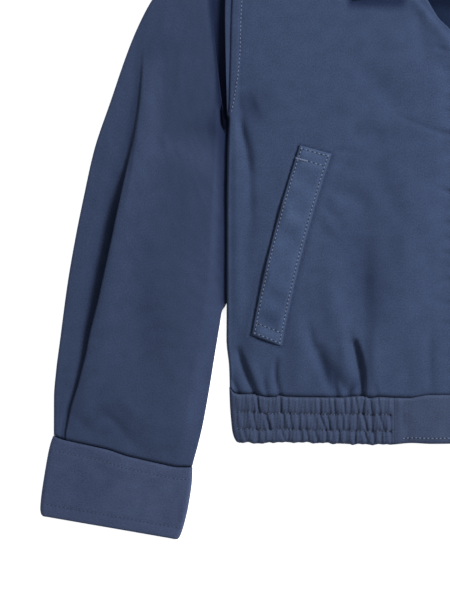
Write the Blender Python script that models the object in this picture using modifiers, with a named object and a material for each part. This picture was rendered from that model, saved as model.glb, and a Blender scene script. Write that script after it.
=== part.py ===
"""A child's zip blouson, laid flat on its back with the sleeves down beside the body.

Every cut piece is a thin wall of its own. Lengths are in millimetres, in the garment's plan: "out" is the
distance from the centre front towards a side, y runs from the hem (low) to the collar (high), z is up.
The right side lies at -X and the left side at +X, as a viewer above the jacket sees the wearer's right and
left.
"""

import math
from typing import NamedTuple

import bmesh
import bpy
import numpy as np

MM = 0.001
COLLECTION = "bomber_jacket"

# Cloth
CLOTH = 1.2
DOUBLE_CLOTH = 2.0
SEAM_GAP = 0.4
ARMHOLE_GAP = 0.8
LAY_GAP = 0.3

# Heights of the layers' outer faces
FRONT_HEIGHT = 5.0
CENTRE_HEIGHT = 4.2
NECK_HEIGHT = 6.2
BAND_HEIGHT = 5.0

# A front's relief: low along the zip, raised round the open neck, rolled down at the side and the shoulder
CENTRE_DIP_OUT = 16.0
CENTRE_DIP_RUN = 11.0
NECK_RISE_OUT = 46.0
NECK_RISE_RUN = 26.0
NECK_RISE_Y = 106.0
NECK_RISE_LEAN = 0.5
CENTRE_CALM_OUT = 20.0
CENTRE_CALM_RUN = 12.0
WELT_CALM_HALF = 12.0
WELT_CALM_RUN = 8.0
SIDE_ROLL = 5.0
SIDE_SEAT = 1.0

# Body, plan
HEM_SEAM_Y = -134.4
HEM_CORNER_RISE = 4.9
HEM_CORNER_FROM = 148.0
HEM_CORNER_RUN = 13.4
HEM_EDGE_Y = -168.6
SIDE_FOOT = (161.6, -140.0)
UNDERARM = (162.4, 58.8)
SHOULDER_TIP = (150.5, 203.0)
NECK_TIP = (68.6, 226.0)
BACK_NECK_Y = 217.0
BACK_NECK_POINTS = 8
BACK_HEM_MIDDLE = 80.0
BACK_HEM_END = 160.6
BACK_HEM_POINTS = 7
CENTRE_EDGE = 5.0
TAB_SEAM = 46.4
NECK_OPEN_Y = 96.0
NECK_OPEN_RUN = 10.0

# Collar
COLLAR_CLOTH = 1.6
COLLAR_FOLD_RADIUS = 1.7
COLLAR_FOLD_POINTS = 5
COLLAR_STEPS = 2

# Zip
CHAIN_Z = 3.6
BEAD_RADIUS = 1.1
BEAD_ANGLES = (-135.0, -90.0, -45.0, 0.0, 45.0, 90.0, 135.0)
TAPE_HALF = 0.5
TAPE_OUT = 4.6
CHAIN_GAP_HALF = 0.15
CHAIN_CLOSED_Y = 103.0
CHAIN_POINTS = 5
SLIDER_Y = 104.5
SLIDER_LENGTH = 9.6
SLIDER_WIDTH = 8.6
SLIDER_PLATE = 0.8
UNDER_WIDTH = 7.6
UNDER_PLATE = 0.7
POST_WIDTH = 1.4
POST_LENGTH = 2.0
BRIDGE_WIDTH = 1.6
BRIDGE_BAR = 0.9
BRIDGE_LEG = 0.9
BRIDGE_LENGTH = 5.6
PULL_BAR = 1.0
PULL_WIDTH = 5.4
PULL_LENGTH = 17.0
PULL_LOOP = 6.4
PULL_LOOP_OPEN = 4.4
JOIN_OVERLAP = 0.05

# Where the middle of the jacket's length lies, in the plan above
ORIGIN_Y = 2.05


class BodyRow(NamedTuple):
    """One row of a front, from its centre edge to its side or armhole edge."""

    centre_out: float
    centre_y: float
    side_out: float
    side_y: float
    steps: int


class SleeveRing(NamedTuple):
    """One flattened ring of a sleeve, from its top edge to its underarm edge."""

    top_out: float
    top_y: float
    under_out: float
    under_y: float
    steps: int


class Fold(NamedTuple):
    """One fold: a ridge (height over 0) or a trough, straight but for its bow, fading at both ends."""

    out_a: float
    y_a: float
    out_b: float
    y_b: float
    bow: float
    width: float
    height: float


class ZipPoint(NamedTuple):
    """A point on the inner edge of a zip half."""

    out: float
    y: float


class CollarSection(NamedTuple):
    """One section of the collar, from its neck seam over the fold to the leaf's free edge."""

    base_out: float
    base_y: float
    base_z: float
    facing: float
    fold_out: float
    fold_z: float
    leaf_out: float
    leaf_z: float


FRONT_ROWS = (
    BodyRow(CENTRE_EDGE, -134.1, 161.2, -129.2, 3),
    BodyRow(CENTRE_EDGE, -118.0, 160.9, -116.0, 5),
    BodyRow(CENTRE_EDGE, -72.0, 163.0, -72.0, 5),
    BodyRow(CENTRE_EDGE, 0.0, 162.4, 0.0, 4),
    BodyRow(CENTRE_EDGE, 60.0, UNDERARM[0], UNDERARM[1], 4),
    BodyRow(CENTRE_EDGE, 106.0, 161.8, 86.0, 1),
    BodyRow(CENTRE_EDGE, 119.0, 161.0, 104.0, 3),
    BodyRow(36.2, 155.4, 159.6, 138.0, 2),
    BodyRow(52.0, 184.0, 156.5, 166.0, 3),
    BodyRow(66.6, 220.0, 151.2, 197.4, 1),
    BodyRow(67.9, 223.6, 150.8, 200.8, 1),
    BodyRow(68.5, 225.6, 150.6, 202.6, 1),
    BodyRow(NECK_TIP[0], NECK_TIP[1], SHOULDER_TIP[0], SHOULDER_TIP[1], 0),
)

SLEEVE_RINGS = (
    SleeveRing(150.5, 203.4, 162.9, 58.4, 1),
    SleeveRing(157.0, 201.4, 163.8, 54.0, 1),
    SleeveRing(173.0, 191.0, 164.3, 46.0, 1),
    SleeveRing(193.0, 171.0, 164.7, 36.0, 1),
    SleeveRing(215.6, 141.4, 165.0, 20.0, 1),
    SleeveRing(231.0, 102.9, 165.2, 0.0, 1),
    SleeveRing(243.6, 71.4, 165.2, -18.0, 1),
    SleeveRing(255.5, 36.4, 165.1, -38.0, 1),
    SleeveRing(263.2, 1.4, 165.0, -56.0, 2),
    SleeveRing(274.4, -56.7, 168.2, -82.0, 2),
    SleeveRing(282.8, -118.3, 176.4, -133.0, 2),
    SleeveRing(284.4, -163.0, 188.6, -184.0, 0),
)

CUFF_RINGS = (
    SleeveRing(284.6, -163.6, 187.8, -184.8, 1),
    SleeveRing(287.2, -177.0, 187.6, -198.0, 1),
    SleeveRing(292.4, -206.0, 190.0, -225.0, 1),
    SleeveRing(293.8, -214.6, 192.6, -233.4, 1),
    SleeveRing(292.6, -217.4, 196.4, -236.8, 0),
)

FRONT_FOLDS = (
    Fold(146.0, 74.0, 153.0, -92.0, -3.0, 7.0, -1.1),
    Fold(152.1, -98.0, 141.9, -137.0, 1.5, 4.5, -1.5),
    Fold(129.0, -112.0, 127.0, -138.0, 0.0, 4.0, -1.4),
    Fold(104.0, -90.0, 89.0, -138.0, 1.0, 8.0, -1.3),
    Fold(72.0, -92.0, 73.0, -140.0, -4.0, 6.0, -2.2),
    Fold(66.5, 10.0, 65.0, -104.0, 0.0, 17.0, -0.9),
    Fold(86.0, 0.0, 84.0, -132.0, 3.0, 13.0, 0.9),
    Fold(38.0, 40.0, 40.0, -128.0, 2.0, 18.0, 0.8),
    Fold(140.0, -84.0, 135.0, -136.0, 0.0, 7.0, 0.8),
    Fold(21.0, -96.0, 20.0, -138.0, 0.0, 7.0, -1.1),
    Fold(88.0, 37.0, 74.0, 33.0, 0.0, 5.0, -0.7),
)

SLEEVE_FOLDS = (
    Fold(172.0, 176.0, 165.6, 52.0, 0.0, 6.0, -2.4),
    Fold(222.0, 92.0, 279.0, -176.0, -4.0, 7.0, -2.2),
    Fold(212.0, 100.0, 266.0, -176.0, -4.0, 12.0, 1.1),
    Fold(198.0, 96.0, 186.0, 30.0, 0.0, 11.0, -0.9),
    Fold(222.0, -60.0, 212.0, -124.0, 3.0, 16.0, -1.0),
    Fold(262.0, -140.0, 226.0, -164.0, -5.0, 8.0, -1.2),
    Fold(190.0, -60.0, 200.0, -170.0, 0.0, 14.0, 0.8),
)

COLLAR_SECTIONS = (
    CollarSection(35.9, 156.0, 5.4, -20.0, -4.0, 9.6, 40.0, 6.5),
    CollarSection(43.4, 170.0, 5.3, -14.0, -5.2, 10.8, 39.0, 6.5),
    CollarSection(51.0, 184.6, 5.2, -6.0, -5.4, 12.0, 36.0, 6.5),
    CollarSection(58.8, 204.4, 5.0, 4.0, -4.4, 13.0, 29.0, 6.9),
    CollarSection(62.6, 213.6, 4.6, 22.0, -2.0, 13.6, 24.0, 6.7),
    CollarSection(62.0, 221.4, 4.2, 46.0, 3.0, 13.0, 20.6, 5.2),
    CollarSection(53.0, 224.4, 3.4, 70.0, 11.0, 9.6, 14.6, 2.0),
    CollarSection(38.0, 221.6, 2.6, 82.0, 17.0, 5.0, 6.4, 0.9),
    CollarSection(20.0, 218.6, 2.2, 87.0, 19.0, 3.2, 6.0, 0.8),
    CollarSection(0.0, 217.4, 2.0, 90.0, 19.6, 2.9, 6.0, 0.8),
)

# The zip's open end above the slider, along the vent and the neck edge
ZIP_OPEN_POINTS = (
    ZipPoint(1.7, 106.5),
    ZipPoint(4.5, 112.0),
    ZipPoint(7.5, 118.0),
    ZipPoint(10.7, 124.2),
    ZipPoint(19.0, 134.0),
    ZipPoint(27.6, 144.0),
    ZipPoint(35.4, 153.0),
)

# Pocket welt, from its upper end to its lower end, opening edge to fixed edge
WELT_UPPER = ((112.4, 39.9), (89.8, 33.6))
WELT_LOWER = ((146.0, -93.1), (124.8, -101.4))
WELT_BOW = 2.6
WELT_LENGTH_STEPS = 12
WELT_WIDTH_STEPS = 3
WELT_CLEARANCE = 0.45

# Elastic band and its gathers
GATHERS = 22
GATHER_HEIGHT = 1.0
GATHER_UNEVENNESS = 0.22
GATHER_WANDER_WAVES = 5.3
GATHER_LEAST = 0.4
GATHER_DEPTH_WAVES = 3.7
GATHER_DEPTH_PHASE = 1.0
GATHER_COLUMNS = 4
GATHER_EDGE = 0.12
BAND_SIDE_OUT = 161.4
BAND_SIDE_TAPER = 3.0
BAND_DRAW_OUT = 120.0
BAND_DRAW_RUN = 35.0
BAND_ROWS = 3
BAND_ROLL_STEPS = 4
BAND_BACK_COLUMNS = (155.0, 152.0, 148.0, 75.0)

# Plain ends of the hem band
TAB_CLOTH = 1.6
TAB_DROP = 0.5
TAB_COLUMNS = 6
TAB_ROWS = 4

# Fronts: places of the columns between the centre edge and the side
PANEL_COLUMNS = (
    0.0, 0.03, 0.1, 0.17, 0.25, 0.33, 0.4, 0.46, 0.52, 0.59, 0.67, 0.75, 0.82, 0.88, 0.93, 0.965, 0.987,
    0.9975, 1.0,
)

# Sleeves and cuffs
EDGE_ANGLES = (-90.0, -45.0, 0.0, 45.0, 90.0)
SLEEVE_TOP_COLUMNS = 13
SLEEVE_BOTTOM_COLUMNS = 5
SLEEVE_EDGE_RADIUS = 2.4
SLEEVE_CROWN = 0.6
BULGE_RINGS = 7.0
CUFF_EDGE_RADIUS = 2.6
CUFF_CROWN = 0.2

# Folds
LEFT_FOLD_SHIFT = 4.0
LEFT_FOLD_DEPTH = 0.85
FOLD_SAMPLES = 24
FOLD_END = 0.02
SHARP_EDGE = 50.0

NAVY = (0.038, 0.058, 0.112, 1.0)
NAVY_DARK = (0.032, 0.048, 0.094, 1.0)
ZIP_TAPE = (0.02, 0.03, 0.06, 1.0)
ZIP_METAL = (0.35, 0.34, 0.32, 1.0)


def smooth(value):
    """Ease from 0 to 1, flat at both ends."""
    t = np.clip(value, 0.0, 1.0)
    return t * t * (3.0 - 2.0 * t)


def fold_height(out, y, folds):
    """Sum of the folds' heights at points of the plan."""
    total = np.zeros_like(out)
    t = np.linspace(0.0, 1.0, FOLD_SAMPLES)
    for fold in folds:
        run = np.array([fold.out_b - fold.out_a, fold.y_b - fold.y_a])
        side = np.array([-run[1], run[0]]) / np.hypot(*run)
        arch = fold.bow * 4.0 * t * (1.0 - t)
        line_out = fold.out_a + t * run[0] + arch * side[0]
        line_y = fold.y_a + t * run[1] + arch * side[1]
        gap = np.hypot(out[..., None] - line_out, y[..., None] - line_y)
        nearest = gap.argmin(axis=-1)
        fade = np.sqrt(np.sin(math.pi * np.clip(t[nearest], FOLD_END, 1.0 - FOLD_END)))
        total += fold.height * fade * np.exp(-((gap.min(axis=-1) / (0.5 * fold.width)) ** 2))
    return total


def side_folds(folds, side):
    """The folds of one side: the left ones lie a little further in and are a little softer."""
    if side < 0:
        return folds
    return tuple(
        fold._replace(
            out_a=fold.out_a - LEFT_FOLD_SHIFT,
            out_b=fold.out_b - LEFT_FOLD_SHIFT,
            height=fold.height * LEFT_FOLD_DEPTH,
        )
        for fold in folds
    )


def distance_to_segment(out, y, start, end):
    """Distance in the plan from points to a straight stretch."""
    run = np.subtract(end, start)
    along = ((out - start[0]) * run[0] + (y - start[1]) * run[1]) / run.dot(run)
    along = np.clip(along, 0.0, 1.0)
    return np.hypot(out - start[0] - along * run[0], y - start[1] - along * run[1])


def centre_dip(out):
    """How much of the zip's lower height a place beside it takes."""
    return smooth((CENTRE_DIP_OUT - out) / CENTRE_DIP_RUN)


def front_height(out, y, side):
    """Height of a front's outer face, rolled down at the side seam and the shoulder seam."""
    opening = smooth((y - NECK_OPEN_Y) / NECK_OPEN_RUN)
    closed = centre_dip(out) * (1.0 - opening)
    opened = opening * smooth((NECK_RISE_OUT - out + (y - NECK_RISE_Y) * NECK_RISE_LEAN) / NECK_RISE_RUN)
    base = FRONT_HEIGHT + (CENTRE_HEIGHT - FRONT_HEIGHT) * closed + (NECK_HEIGHT - FRONT_HEIGHT) * opened
    calm = 1.0 - smooth((CENTRE_CALM_OUT - out) / CENTRE_CALM_RUN)
    welt = distance_to_segment(out, y, welt_point(0.5, 0.0), welt_point(0.5, 1.0))
    calm = calm * smooth((welt - WELT_CALM_HALF) / WELT_CALM_RUN)
    folded = base + calm * fold_height(out, y, side_folds(FRONT_FOLDS, side))
    low = CLOTH + SIDE_SEAT
    side_gap = distance_to_segment(out, y, SIDE_FOOT, UNDERARM)
    shoulder_gap = distance_to_segment(out, y, NECK_TIP, SHOULDER_TIP)
    gap = np.clip(np.minimum(side_gap, shoulder_gap) / SIDE_ROLL, 0.0, 1.0)
    roll = np.sqrt(1.0 - (1.0 - gap) ** 2)
    return low + (folded - low) * roll


def to_metres(side, out, y, z):
    """World points of plan points on one side (-1 right, +1 left)."""
    return np.stack([side * out, y - ORIGIN_Y, z], axis=-1) * MM


def new_material(name, colour, roughness, metallic=0.0):
    """A plain material of one colour."""
    material = bpy.data.materials.new(name)
    material.use_nodes = True
    shader = material.node_tree.nodes["Principled BSDF"]
    shader.inputs["Base Color"].default_value = colour
    shader.inputs["Roughness"].default_value = roughness
    shader.inputs["Metallic"].default_value = metallic
    material.diffuse_color = colour
    return material


def new_object(name, mesh, collection, material):
    """A smooth-shaded object of the part, from its mesh."""
    mesh.materials.append(material)
    mesh.shade_smooth()
    mesh.set_sharp_from_angle(angle=math.radians(SHARP_EDGE))
    made = bpy.data.objects.new(name, mesh)
    collection.objects.link(made)
    return made


def grid_faces(rows, columns, closed):
    """Quads of a grid of points, its columns joined into rings where closed."""
    faces = []
    for row in range(rows - 1):
        for column in range(columns if closed else columns - 1):
            following = (column + 1) % columns
            faces.append((
                row * columns + column,
                row * columns + following,
                (row + 1) * columns + following,
                (row + 1) * columns + column,
            ))
    return faces


def cloth_sheet(name, grid, collection, material, thickness, flip=False, closed=False, offset=-1.0):
    """A wall on one open grid of outer points, given its thickness by a Solidify modifier."""
    rows, columns = grid.shape[:2]
    faces = grid_faces(rows, columns, closed)
    if flip:
        faces = [face[::-1] for face in faces]
    mesh = bpy.data.meshes.new(name)
    mesh.from_pydata(grid.reshape(-1, 3).tolist(), [], faces)
    made = new_object(name, mesh, collection, material)
    wall = made.modifiers.new("wall", "SOLIDIFY")
    wall.thickness = thickness * MM
    wall.offset = offset
    return made


def lofted_wall(name, outer, inner, collection, material, flip=False):
    """A closed wall between an outer and an unlike inner grid, such as gathers over a plain inside."""
    rows, columns = outer.shape[:2]
    count = rows * columns
    top = grid_faces(rows, columns, False)
    faces = top + [tuple(index + count for index in face[::-1]) for face in top]
    border = list(range(columns))
    border += [row * columns + columns - 1 for row in range(1, rows)]
    border += [(rows - 1) * columns + column for column in range(columns - 2, -1, -1)]
    border += [row * columns for row in range(rows - 2, 0, -1)]
    for index, start in enumerate(border):
        end = border[(index + 1) % len(border)]
        faces.append((end, start, start + count, end + count))
    if flip:
        faces = [face[::-1] for face in faces]
    points = np.concatenate([outer.reshape(-1, 3), inner.reshape(-1, 3)])
    mesh = bpy.data.meshes.new(name)
    mesh.from_pydata(points.tolist(), [], faces)
    return new_object(name, mesh, collection, material)


def spread_rows(rows):
    """A table's rows with straight steps between them, as an array with a column for each size."""
    table = np.array([row[:4] for row in rows])
    spread = []
    for index, row in enumerate(rows[:-1]):
        for step in range(row.steps):
            spread.append(table[index] + (table[index + 1] - table[index]) * step / row.steps)
    spread.append(table[-1])
    return np.array(spread)


def hem_seam_y(out):
    """Where the hem seam runs: level, but higher at the side corner."""
    return HEM_SEAM_Y + HEM_CORNER_RISE * smooth((out - HEM_CORNER_FROM) / HEM_CORNER_RUN)


def build_back_panel(collection, material):
    """The back: flat, with the fronts' side seams, armholes and shoulders and its own neck curve."""
    rows = spread_rows(FRONT_ROWS)
    edge = [(out, y) for out, y in rows[:, 2:4]]
    neck = [
        (NECK_TIP[0] * math.cos(angle), NECK_TIP[1] - (NECK_TIP[1] - BACK_NECK_Y) * math.sin(angle))
        for angle in np.linspace(0.0, math.pi / 2.0, BACK_NECK_POINTS)
    ]
    hem_out = [0.0, BACK_HEM_MIDDLE] + list(np.linspace(HEM_CORNER_FROM, BACK_HEM_END, BACK_HEM_POINTS))
    hem = [(out, hem_seam_y(np.array(out)) + SEAM_GAP) for out in hem_out]
    half = [(float(out), float(y)) for out, y in hem + edge + neck]
    outline = half + [(-out, y) for out, y in half[-2:0:-1]]
    curve = bpy.data.curves.new("back_panel", "CURVE")
    curve.dimensions = "2D"
    curve.fill_mode = "BOTH"
    curve.extrude = 0.5 * CLOTH * MM
    spline = curve.splines.new("POLY")
    spline.points.add(len(outline) - 1)
    for point, (out, y) in zip(spline.points, outline):
        point.co = (out * MM, (y - ORIGIN_Y) * MM, 0.0, 1.0)
    spline.use_cyclic_u = True
    made = bpy.data.objects.new("back_panel", curve)
    made.location.z = 0.5 * CLOTH * MM
    curve.materials.append(material)
    collection.objects.link(made)


def build_front(name, side, collection, material):
    """One front: rows from the centre edge to the side, with its folds."""
    rows = spread_rows(FRONT_ROWS)
    columns = np.array(PANEL_COLUMNS)
    out = rows[:, [0]] + (rows[:, [2]] - rows[:, [0]]) * columns
    y = rows[:, [1]] + (rows[:, [3]] - rows[:, [1]]) * columns
    y[0] = hem_seam_y(out[0]) + SEAM_GAP
    z = front_height(out, y, side)
    cloth_sheet(name, to_metres(side, out, y, z), collection, material, CLOTH, flip=side < 0)


def armhole_bulge(share):
    """How far the armhole seam bows out from a straight ring between its two ends."""
    first = SLEEVE_RINGS[0]
    y = first.top_y + (first.under_y - first.top_y) * share
    return armhole_out(y) - (first.top_out + (first.under_out - first.top_out) * share)


def tube_grid(rings, side, radius, crown, folds, bulge=None):
    """Outer points of a flattened tube: flat below, rounded at both edges, folded on top."""
    spread = spread_rows(rings)
    angles = np.radians(EDGE_ANGLES)
    grid = []
    for index, (top_out, top_y, under_out, under_y) in enumerate(spread):
        width = math.hypot(under_out - top_out, under_y - top_y)
        edge = radius * (1.0 - np.cos(angles))
        edge_z = radius * (1.0 + np.sin(angles))
        across = np.linspace(radius, width - radius, SLEEVE_TOP_COLUMNS + 2)[1:-1]
        back = np.linspace(width - radius, radius, SLEEVE_BOTTOM_COLUMNS + 2)[1:-1]
        along = np.concatenate([edge, across, width - edge[::-1], back])
        crowned = 2.0 * radius + crown * np.sin(math.pi * across / width)
        z = np.concatenate([edge_z, crowned, edge_z[::-1], 0.0 * back])
        share = along / width
        out = top_out + (under_out - top_out) * share
        y = top_y + (under_y - top_y) * share
        if bulge is not None:
            out = out + smooth(1.0 - index / BULGE_RINGS) * bulge(share)
        upper = np.zeros(len(along), bool)
        upper[len(edge) : len(edge) + len(across)] = True
        calm = smooth(np.minimum(along, width - along) / (3.0 * radius))
        z = z + np.where(upper, calm * fold_height(out, y, side_folds(folds, side)), 0.0)
        grid.append(to_metres(side, out, y, z))
    return np.array(grid)


def armhole_out(y):
    """How far out the armhole seam lies at a height of the plan."""
    rows = spread_rows(FRONT_ROWS)
    seam = rows[rows[:, 3] >= UNDERARM[1]]
    return np.interp(y, seam[:, 3], seam[:, 2]) + ARMHOLE_GAP


def build_sleeve(name, side, collection, material):
    """A sleeve: a flattened tube from the armhole to the cuff."""
    grid = tube_grid(SLEEVE_RINGS, side, SLEEVE_EDGE_RADIUS, SLEEVE_CROWN, SLEEVE_FOLDS, armhole_bulge)
    cloth_sheet(name, grid, collection, material, CLOTH, flip=side < 0, closed=True)


def build_cuff(name, side, collection, material):
    """A plain cuff: a flattened tube of double cloth."""
    grid = tube_grid(CUFF_RINGS, side, CUFF_EDGE_RADIUS, CUFF_CROWN, ())
    cloth_sheet(name, grid, collection, material, DOUBLE_CLOTH, flip=side < 0, closed=True)


def gather_line():
    """Places along the band's front, in order from the tab seam outwards, and each one's raised share."""
    reach = HEM_CORNER_FROM - TAB_SEAM - SEAM_GAP
    steps = GATHERS * GATHER_COLUMNS
    share = np.arange(steps + 1) / steps
    wander = GATHER_UNEVENNESS / GATHERS * np.sin(2.0 * math.pi * share * GATHER_WANDER_WAVES)
    wander = wander * np.sin(math.pi * share)
    out = TAB_SEAM + SEAM_GAP + reach * (share + wander)
    raised = 0.5 - 0.5 * np.cos(2.0 * math.pi * share * GATHERS)
    depth = 0.5 + 0.5 * np.sin(2.0 * math.pi * share * GATHER_DEPTH_WAVES + GATHER_DEPTH_PHASE)
    return out, raised * (GATHER_LEAST + (1.0 - GATHER_LEAST) * depth)


def round_the_back(half, middle_z):
    """A whole row of the band, from its left half and the height at the centre back."""
    mirrored = [(-out, z) for out, z in half]
    return np.array(mirrored + [(0.0, middle_z)] + half[::-1])


def build_hem_band(collection, material):
    """The elastic band: one strip from tab seam to tab seam round the back, gathered where it shows."""
    out, raised = gather_line()
    radius = 0.5 * BAND_HEIGHT
    inner_radius = radius - DOUBLE_CLOTH
    angles = np.linspace(math.pi / 2.0, -math.pi / 2.0, BAND_ROLL_STEPS + 1)
    rows_outer = []
    rows_inner = []
    for share in np.linspace(0.0, 1.0, BAND_ROWS + 1):
        side_out = BAND_SIDE_OUT - BAND_SIDE_TAPER * share - radius
        drawn = out + (side_out - HEM_CORNER_FROM) * smooth((out - BAND_DRAW_OUT) / BAND_DRAW_RUN)
        swell = math.sin(math.pi * min(max(share, GATHER_EDGE), 1.0 - GATHER_EDGE))
        half_outer = list(zip(drawn, BAND_HEIGHT + GATHER_HEIGHT * raised * swell))
        half_inner = [(place, BAND_HEIGHT - DOUBLE_CLOTH) for place in drawn]
        for angle in angles:
            across, up = math.cos(angle), math.sin(angle)
            half_outer.append((side_out + radius * across, radius + radius * up))
            half_inner.append((side_out + inner_radius * across, radius + inner_radius * up))
        for back in BAND_BACK_COLUMNS:
            half_outer.append((back, 0.0))
            half_inner.append((back, DOUBLE_CLOTH))
        outer = round_the_back(half_outer, 0.0)
        inner = round_the_back(half_inner, DOUBLE_CLOTH)
        top = hem_seam_y(np.abs(outer[:, 0]))
        y = top + (HEM_EDGE_Y - top) * share
        rows_outer.append(to_metres(1, outer[:, 0], y, outer[:, 1]))
        rows_inner.append(to_metres(1, inner[:, 0], y, inner[:, 1]))
    lofted_wall("hem_band", np.array(rows_outer), np.array(rows_inner), collection, material)


def build_hem_tab(name, side, collection, material):
    """The plain front end of the hem band, double cloth."""
    columns = np.linspace(CENTRE_EDGE, TAB_SEAM, TAB_COLUMNS)
    out, y = np.meshgrid(columns, np.linspace(HEM_SEAM_Y, HEM_EDGE_Y - TAB_DROP, TAB_ROWS))
    z = BAND_HEIGHT + (CENTRE_HEIGHT - BAND_HEIGHT) * centre_dip(out)
    cloth_sheet(name, to_metres(side, out, y, z), collection, material, TAB_CLOTH, flip=side > 0)


def welt_point(across, along):
    """A point of the welt's plan, with its opening edge bowed outwards."""
    upper = np.add(WELT_UPPER[0], np.multiply(across, np.subtract(WELT_UPPER[1], WELT_UPPER[0])))
    lower = np.add(WELT_LOWER[0], np.multiply(across, np.subtract(WELT_LOWER[1], WELT_LOWER[0])))
    point = upper + along * (lower - upper)
    bow = WELT_BOW * 4.0 * along * (1.0 - along)
    return (point[0] + bow, point[1])


def build_welt(name, side, collection, material):
    """The slanted pocket welt, on the front's own points, moved out."""
    grid = [
        [welt_point(across, along) for across in np.linspace(0.0, 1.0, WELT_WIDTH_STEPS + 1)]
        for along in np.linspace(0.0, 1.0, WELT_LENGTH_STEPS + 1)
    ]
    plan = np.array(grid)
    out, y = plan[..., 0], plan[..., 1]
    points = to_metres(side, out, y, front_height(out, y, side) + WELT_CLEARANCE)
    cloth_sheet(name, points, collection, material, DOUBLE_CLOTH, flip=side < 0, offset=1.0)


def collar_profile(section):
    """Middle line of one collar section: stand, rounded fold, leaf."""
    base = np.array([0.0, section.base_z])
    fold = np.array([section.fold_out, section.fold_z])
    leaf = np.array([section.leaf_out, section.leaf_z])
    up = (fold - base) / np.hypot(*(fold - base))
    outside = np.array([up[1], -up[0]])
    radius = COLLAR_FOLD_RADIUS
    stand_top = fold - radius * outside
    line = [base, 0.5 * (base + stand_top)]
    for angle in np.linspace(0.0, math.pi, COLLAR_FOLD_POINTS):
        line.append(fold + radius * (math.sin(angle) * up - math.cos(angle) * outside))
    start = line[-1]
    line += [start + (leaf - start) * step / 3.0 for step in (1, 2, 3)]
    return np.array(line)


def build_collar(collection, material):
    """The collar, one loft from tip to tip round the neck."""
    table = np.array(COLLAR_SECTIONS)
    half = []
    for index in range(len(table) - 1):
        for step in range(COLLAR_STEPS):
            half.append(table[index] + (table[index + 1] - table[index]) * step / COLLAR_STEPS)
    grid = []
    for values in half:
        grid.append(collar_ring(CollarSection(*values), -1))
    grid.append(collar_ring(COLLAR_SECTIONS[-1], -1))
    for values in half[::-1]:
        grid.append(collar_ring(CollarSection(*values), 1))
    cloth_sheet("collar", np.array(grid), collection, material, COLLAR_CLOTH, flip=False, offset=0.0)


def collar_ring(section, side):
    """One section's middle line, in world points."""
    line = collar_profile(section)
    facing = math.radians(section.facing)
    out = section.base_out + line[:, 0] * math.cos(facing)
    y = section.base_y + line[:, 0] * math.sin(facing)
    return to_metres(side, out, y, line[:, 1])


def zip_path():
    """Inner edge of a zip half, from the hem to the neck."""
    closed = [(CHAIN_GAP_HALF, y) for y in np.linspace(HEM_EDGE_Y, CHAIN_CLOSED_Y, CHAIN_POINTS)]
    return np.array(closed + list(ZIP_OPEN_POINTS))


def build_zip_half(name, side, collection, material):
    """One zip half: a tape with its row of coils as a bead along the inner edge."""
    path = zip_path()
    run = np.gradient(path, axis=0)
    run = run / np.hypot(run[:, 0], run[:, 1])[:, None]
    across = np.stack([run[:, 1], -run[:, 0]], axis=1)
    bead = [
        (BEAD_RADIUS - BEAD_RADIUS * math.cos(angle), BEAD_RADIUS * math.sin(angle))
        for angle in np.radians(BEAD_ANGLES)
    ]
    bead[0] = (bead[0][0], -TAPE_HALF)
    bead[-1] = (bead[-1][0], TAPE_HALF)
    section = [(TAPE_OUT, -TAPE_HALF)] + bead + [(TAPE_OUT, TAPE_HALF)]
    count = len(section)
    points = []
    for place, direction in zip(path, across):
        for reach, z in section:
            plan = place + reach * direction
            points.append(to_metres(side, plan[0], plan[1], CHAIN_Z + z).tolist())
    rows = len(path)
    faces = grid_faces(rows, count, True)
    faces.append(tuple(range(count - 1, -1, -1)))
    faces.append(tuple((rows - 1) * count + index for index in range(count)))
    if side < 0:
        faces = [face[::-1] for face in faces]
    mesh = bpy.data.meshes.new(name)
    mesh.from_pydata(points, [], faces)
    new_object(name, mesh, collection, material)


def add_box(bm, size, centre):
    """A box of a size in millimetres about a centre."""
    made = bmesh.ops.create_cube(bm, size=1.0)
    for vertex in made["verts"]:
        vertex.co = [(vertex.co[axis] * size[axis] + centre[axis]) * MM for axis in range(3)]


def box_object(name, boxes, collection, material):
    """One body from overlapping boxes, joined one after another by Boolean unions."""
    made = None
    for index, (size, centre) in enumerate(boxes):
        bm = bmesh.new()
        add_box(bm, size, centre)
        mesh = bpy.data.meshes.new(f"{name}_{index}")
        bm.to_mesh(mesh)
        bm.free()
        part = bpy.data.objects.new(f"{name}_{index}", mesh)
        collection.objects.link(part)
        if made is None:
            made = part
            continue
        join = made.modifiers.new("join", "BOOLEAN")
        join.operation = "UNION"
        join.object = part
        bpy.context.view_layer.update()
        graph = bpy.context.evaluated_depsgraph_get()
        joined = bpy.data.meshes.new_from_object(made.evaluated_get(graph))
        made.modifiers.clear()
        made.data = joined
        bpy.data.objects.remove(part)
    made.name = name
    made.data.materials.clear()
    made.data.materials.append(material)
    return made


def slider_levels():
    """Heights of the upper plate's two faces and of the hinge axis."""
    plate_bottom = CHAIN_Z + BEAD_RADIUS + LAY_GAP
    plate_top = plate_bottom + SLIDER_PLATE
    axis_z = plate_top + LAY_GAP + 0.5 * PULL_BAR
    return plate_bottom, plate_top, axis_z


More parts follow.
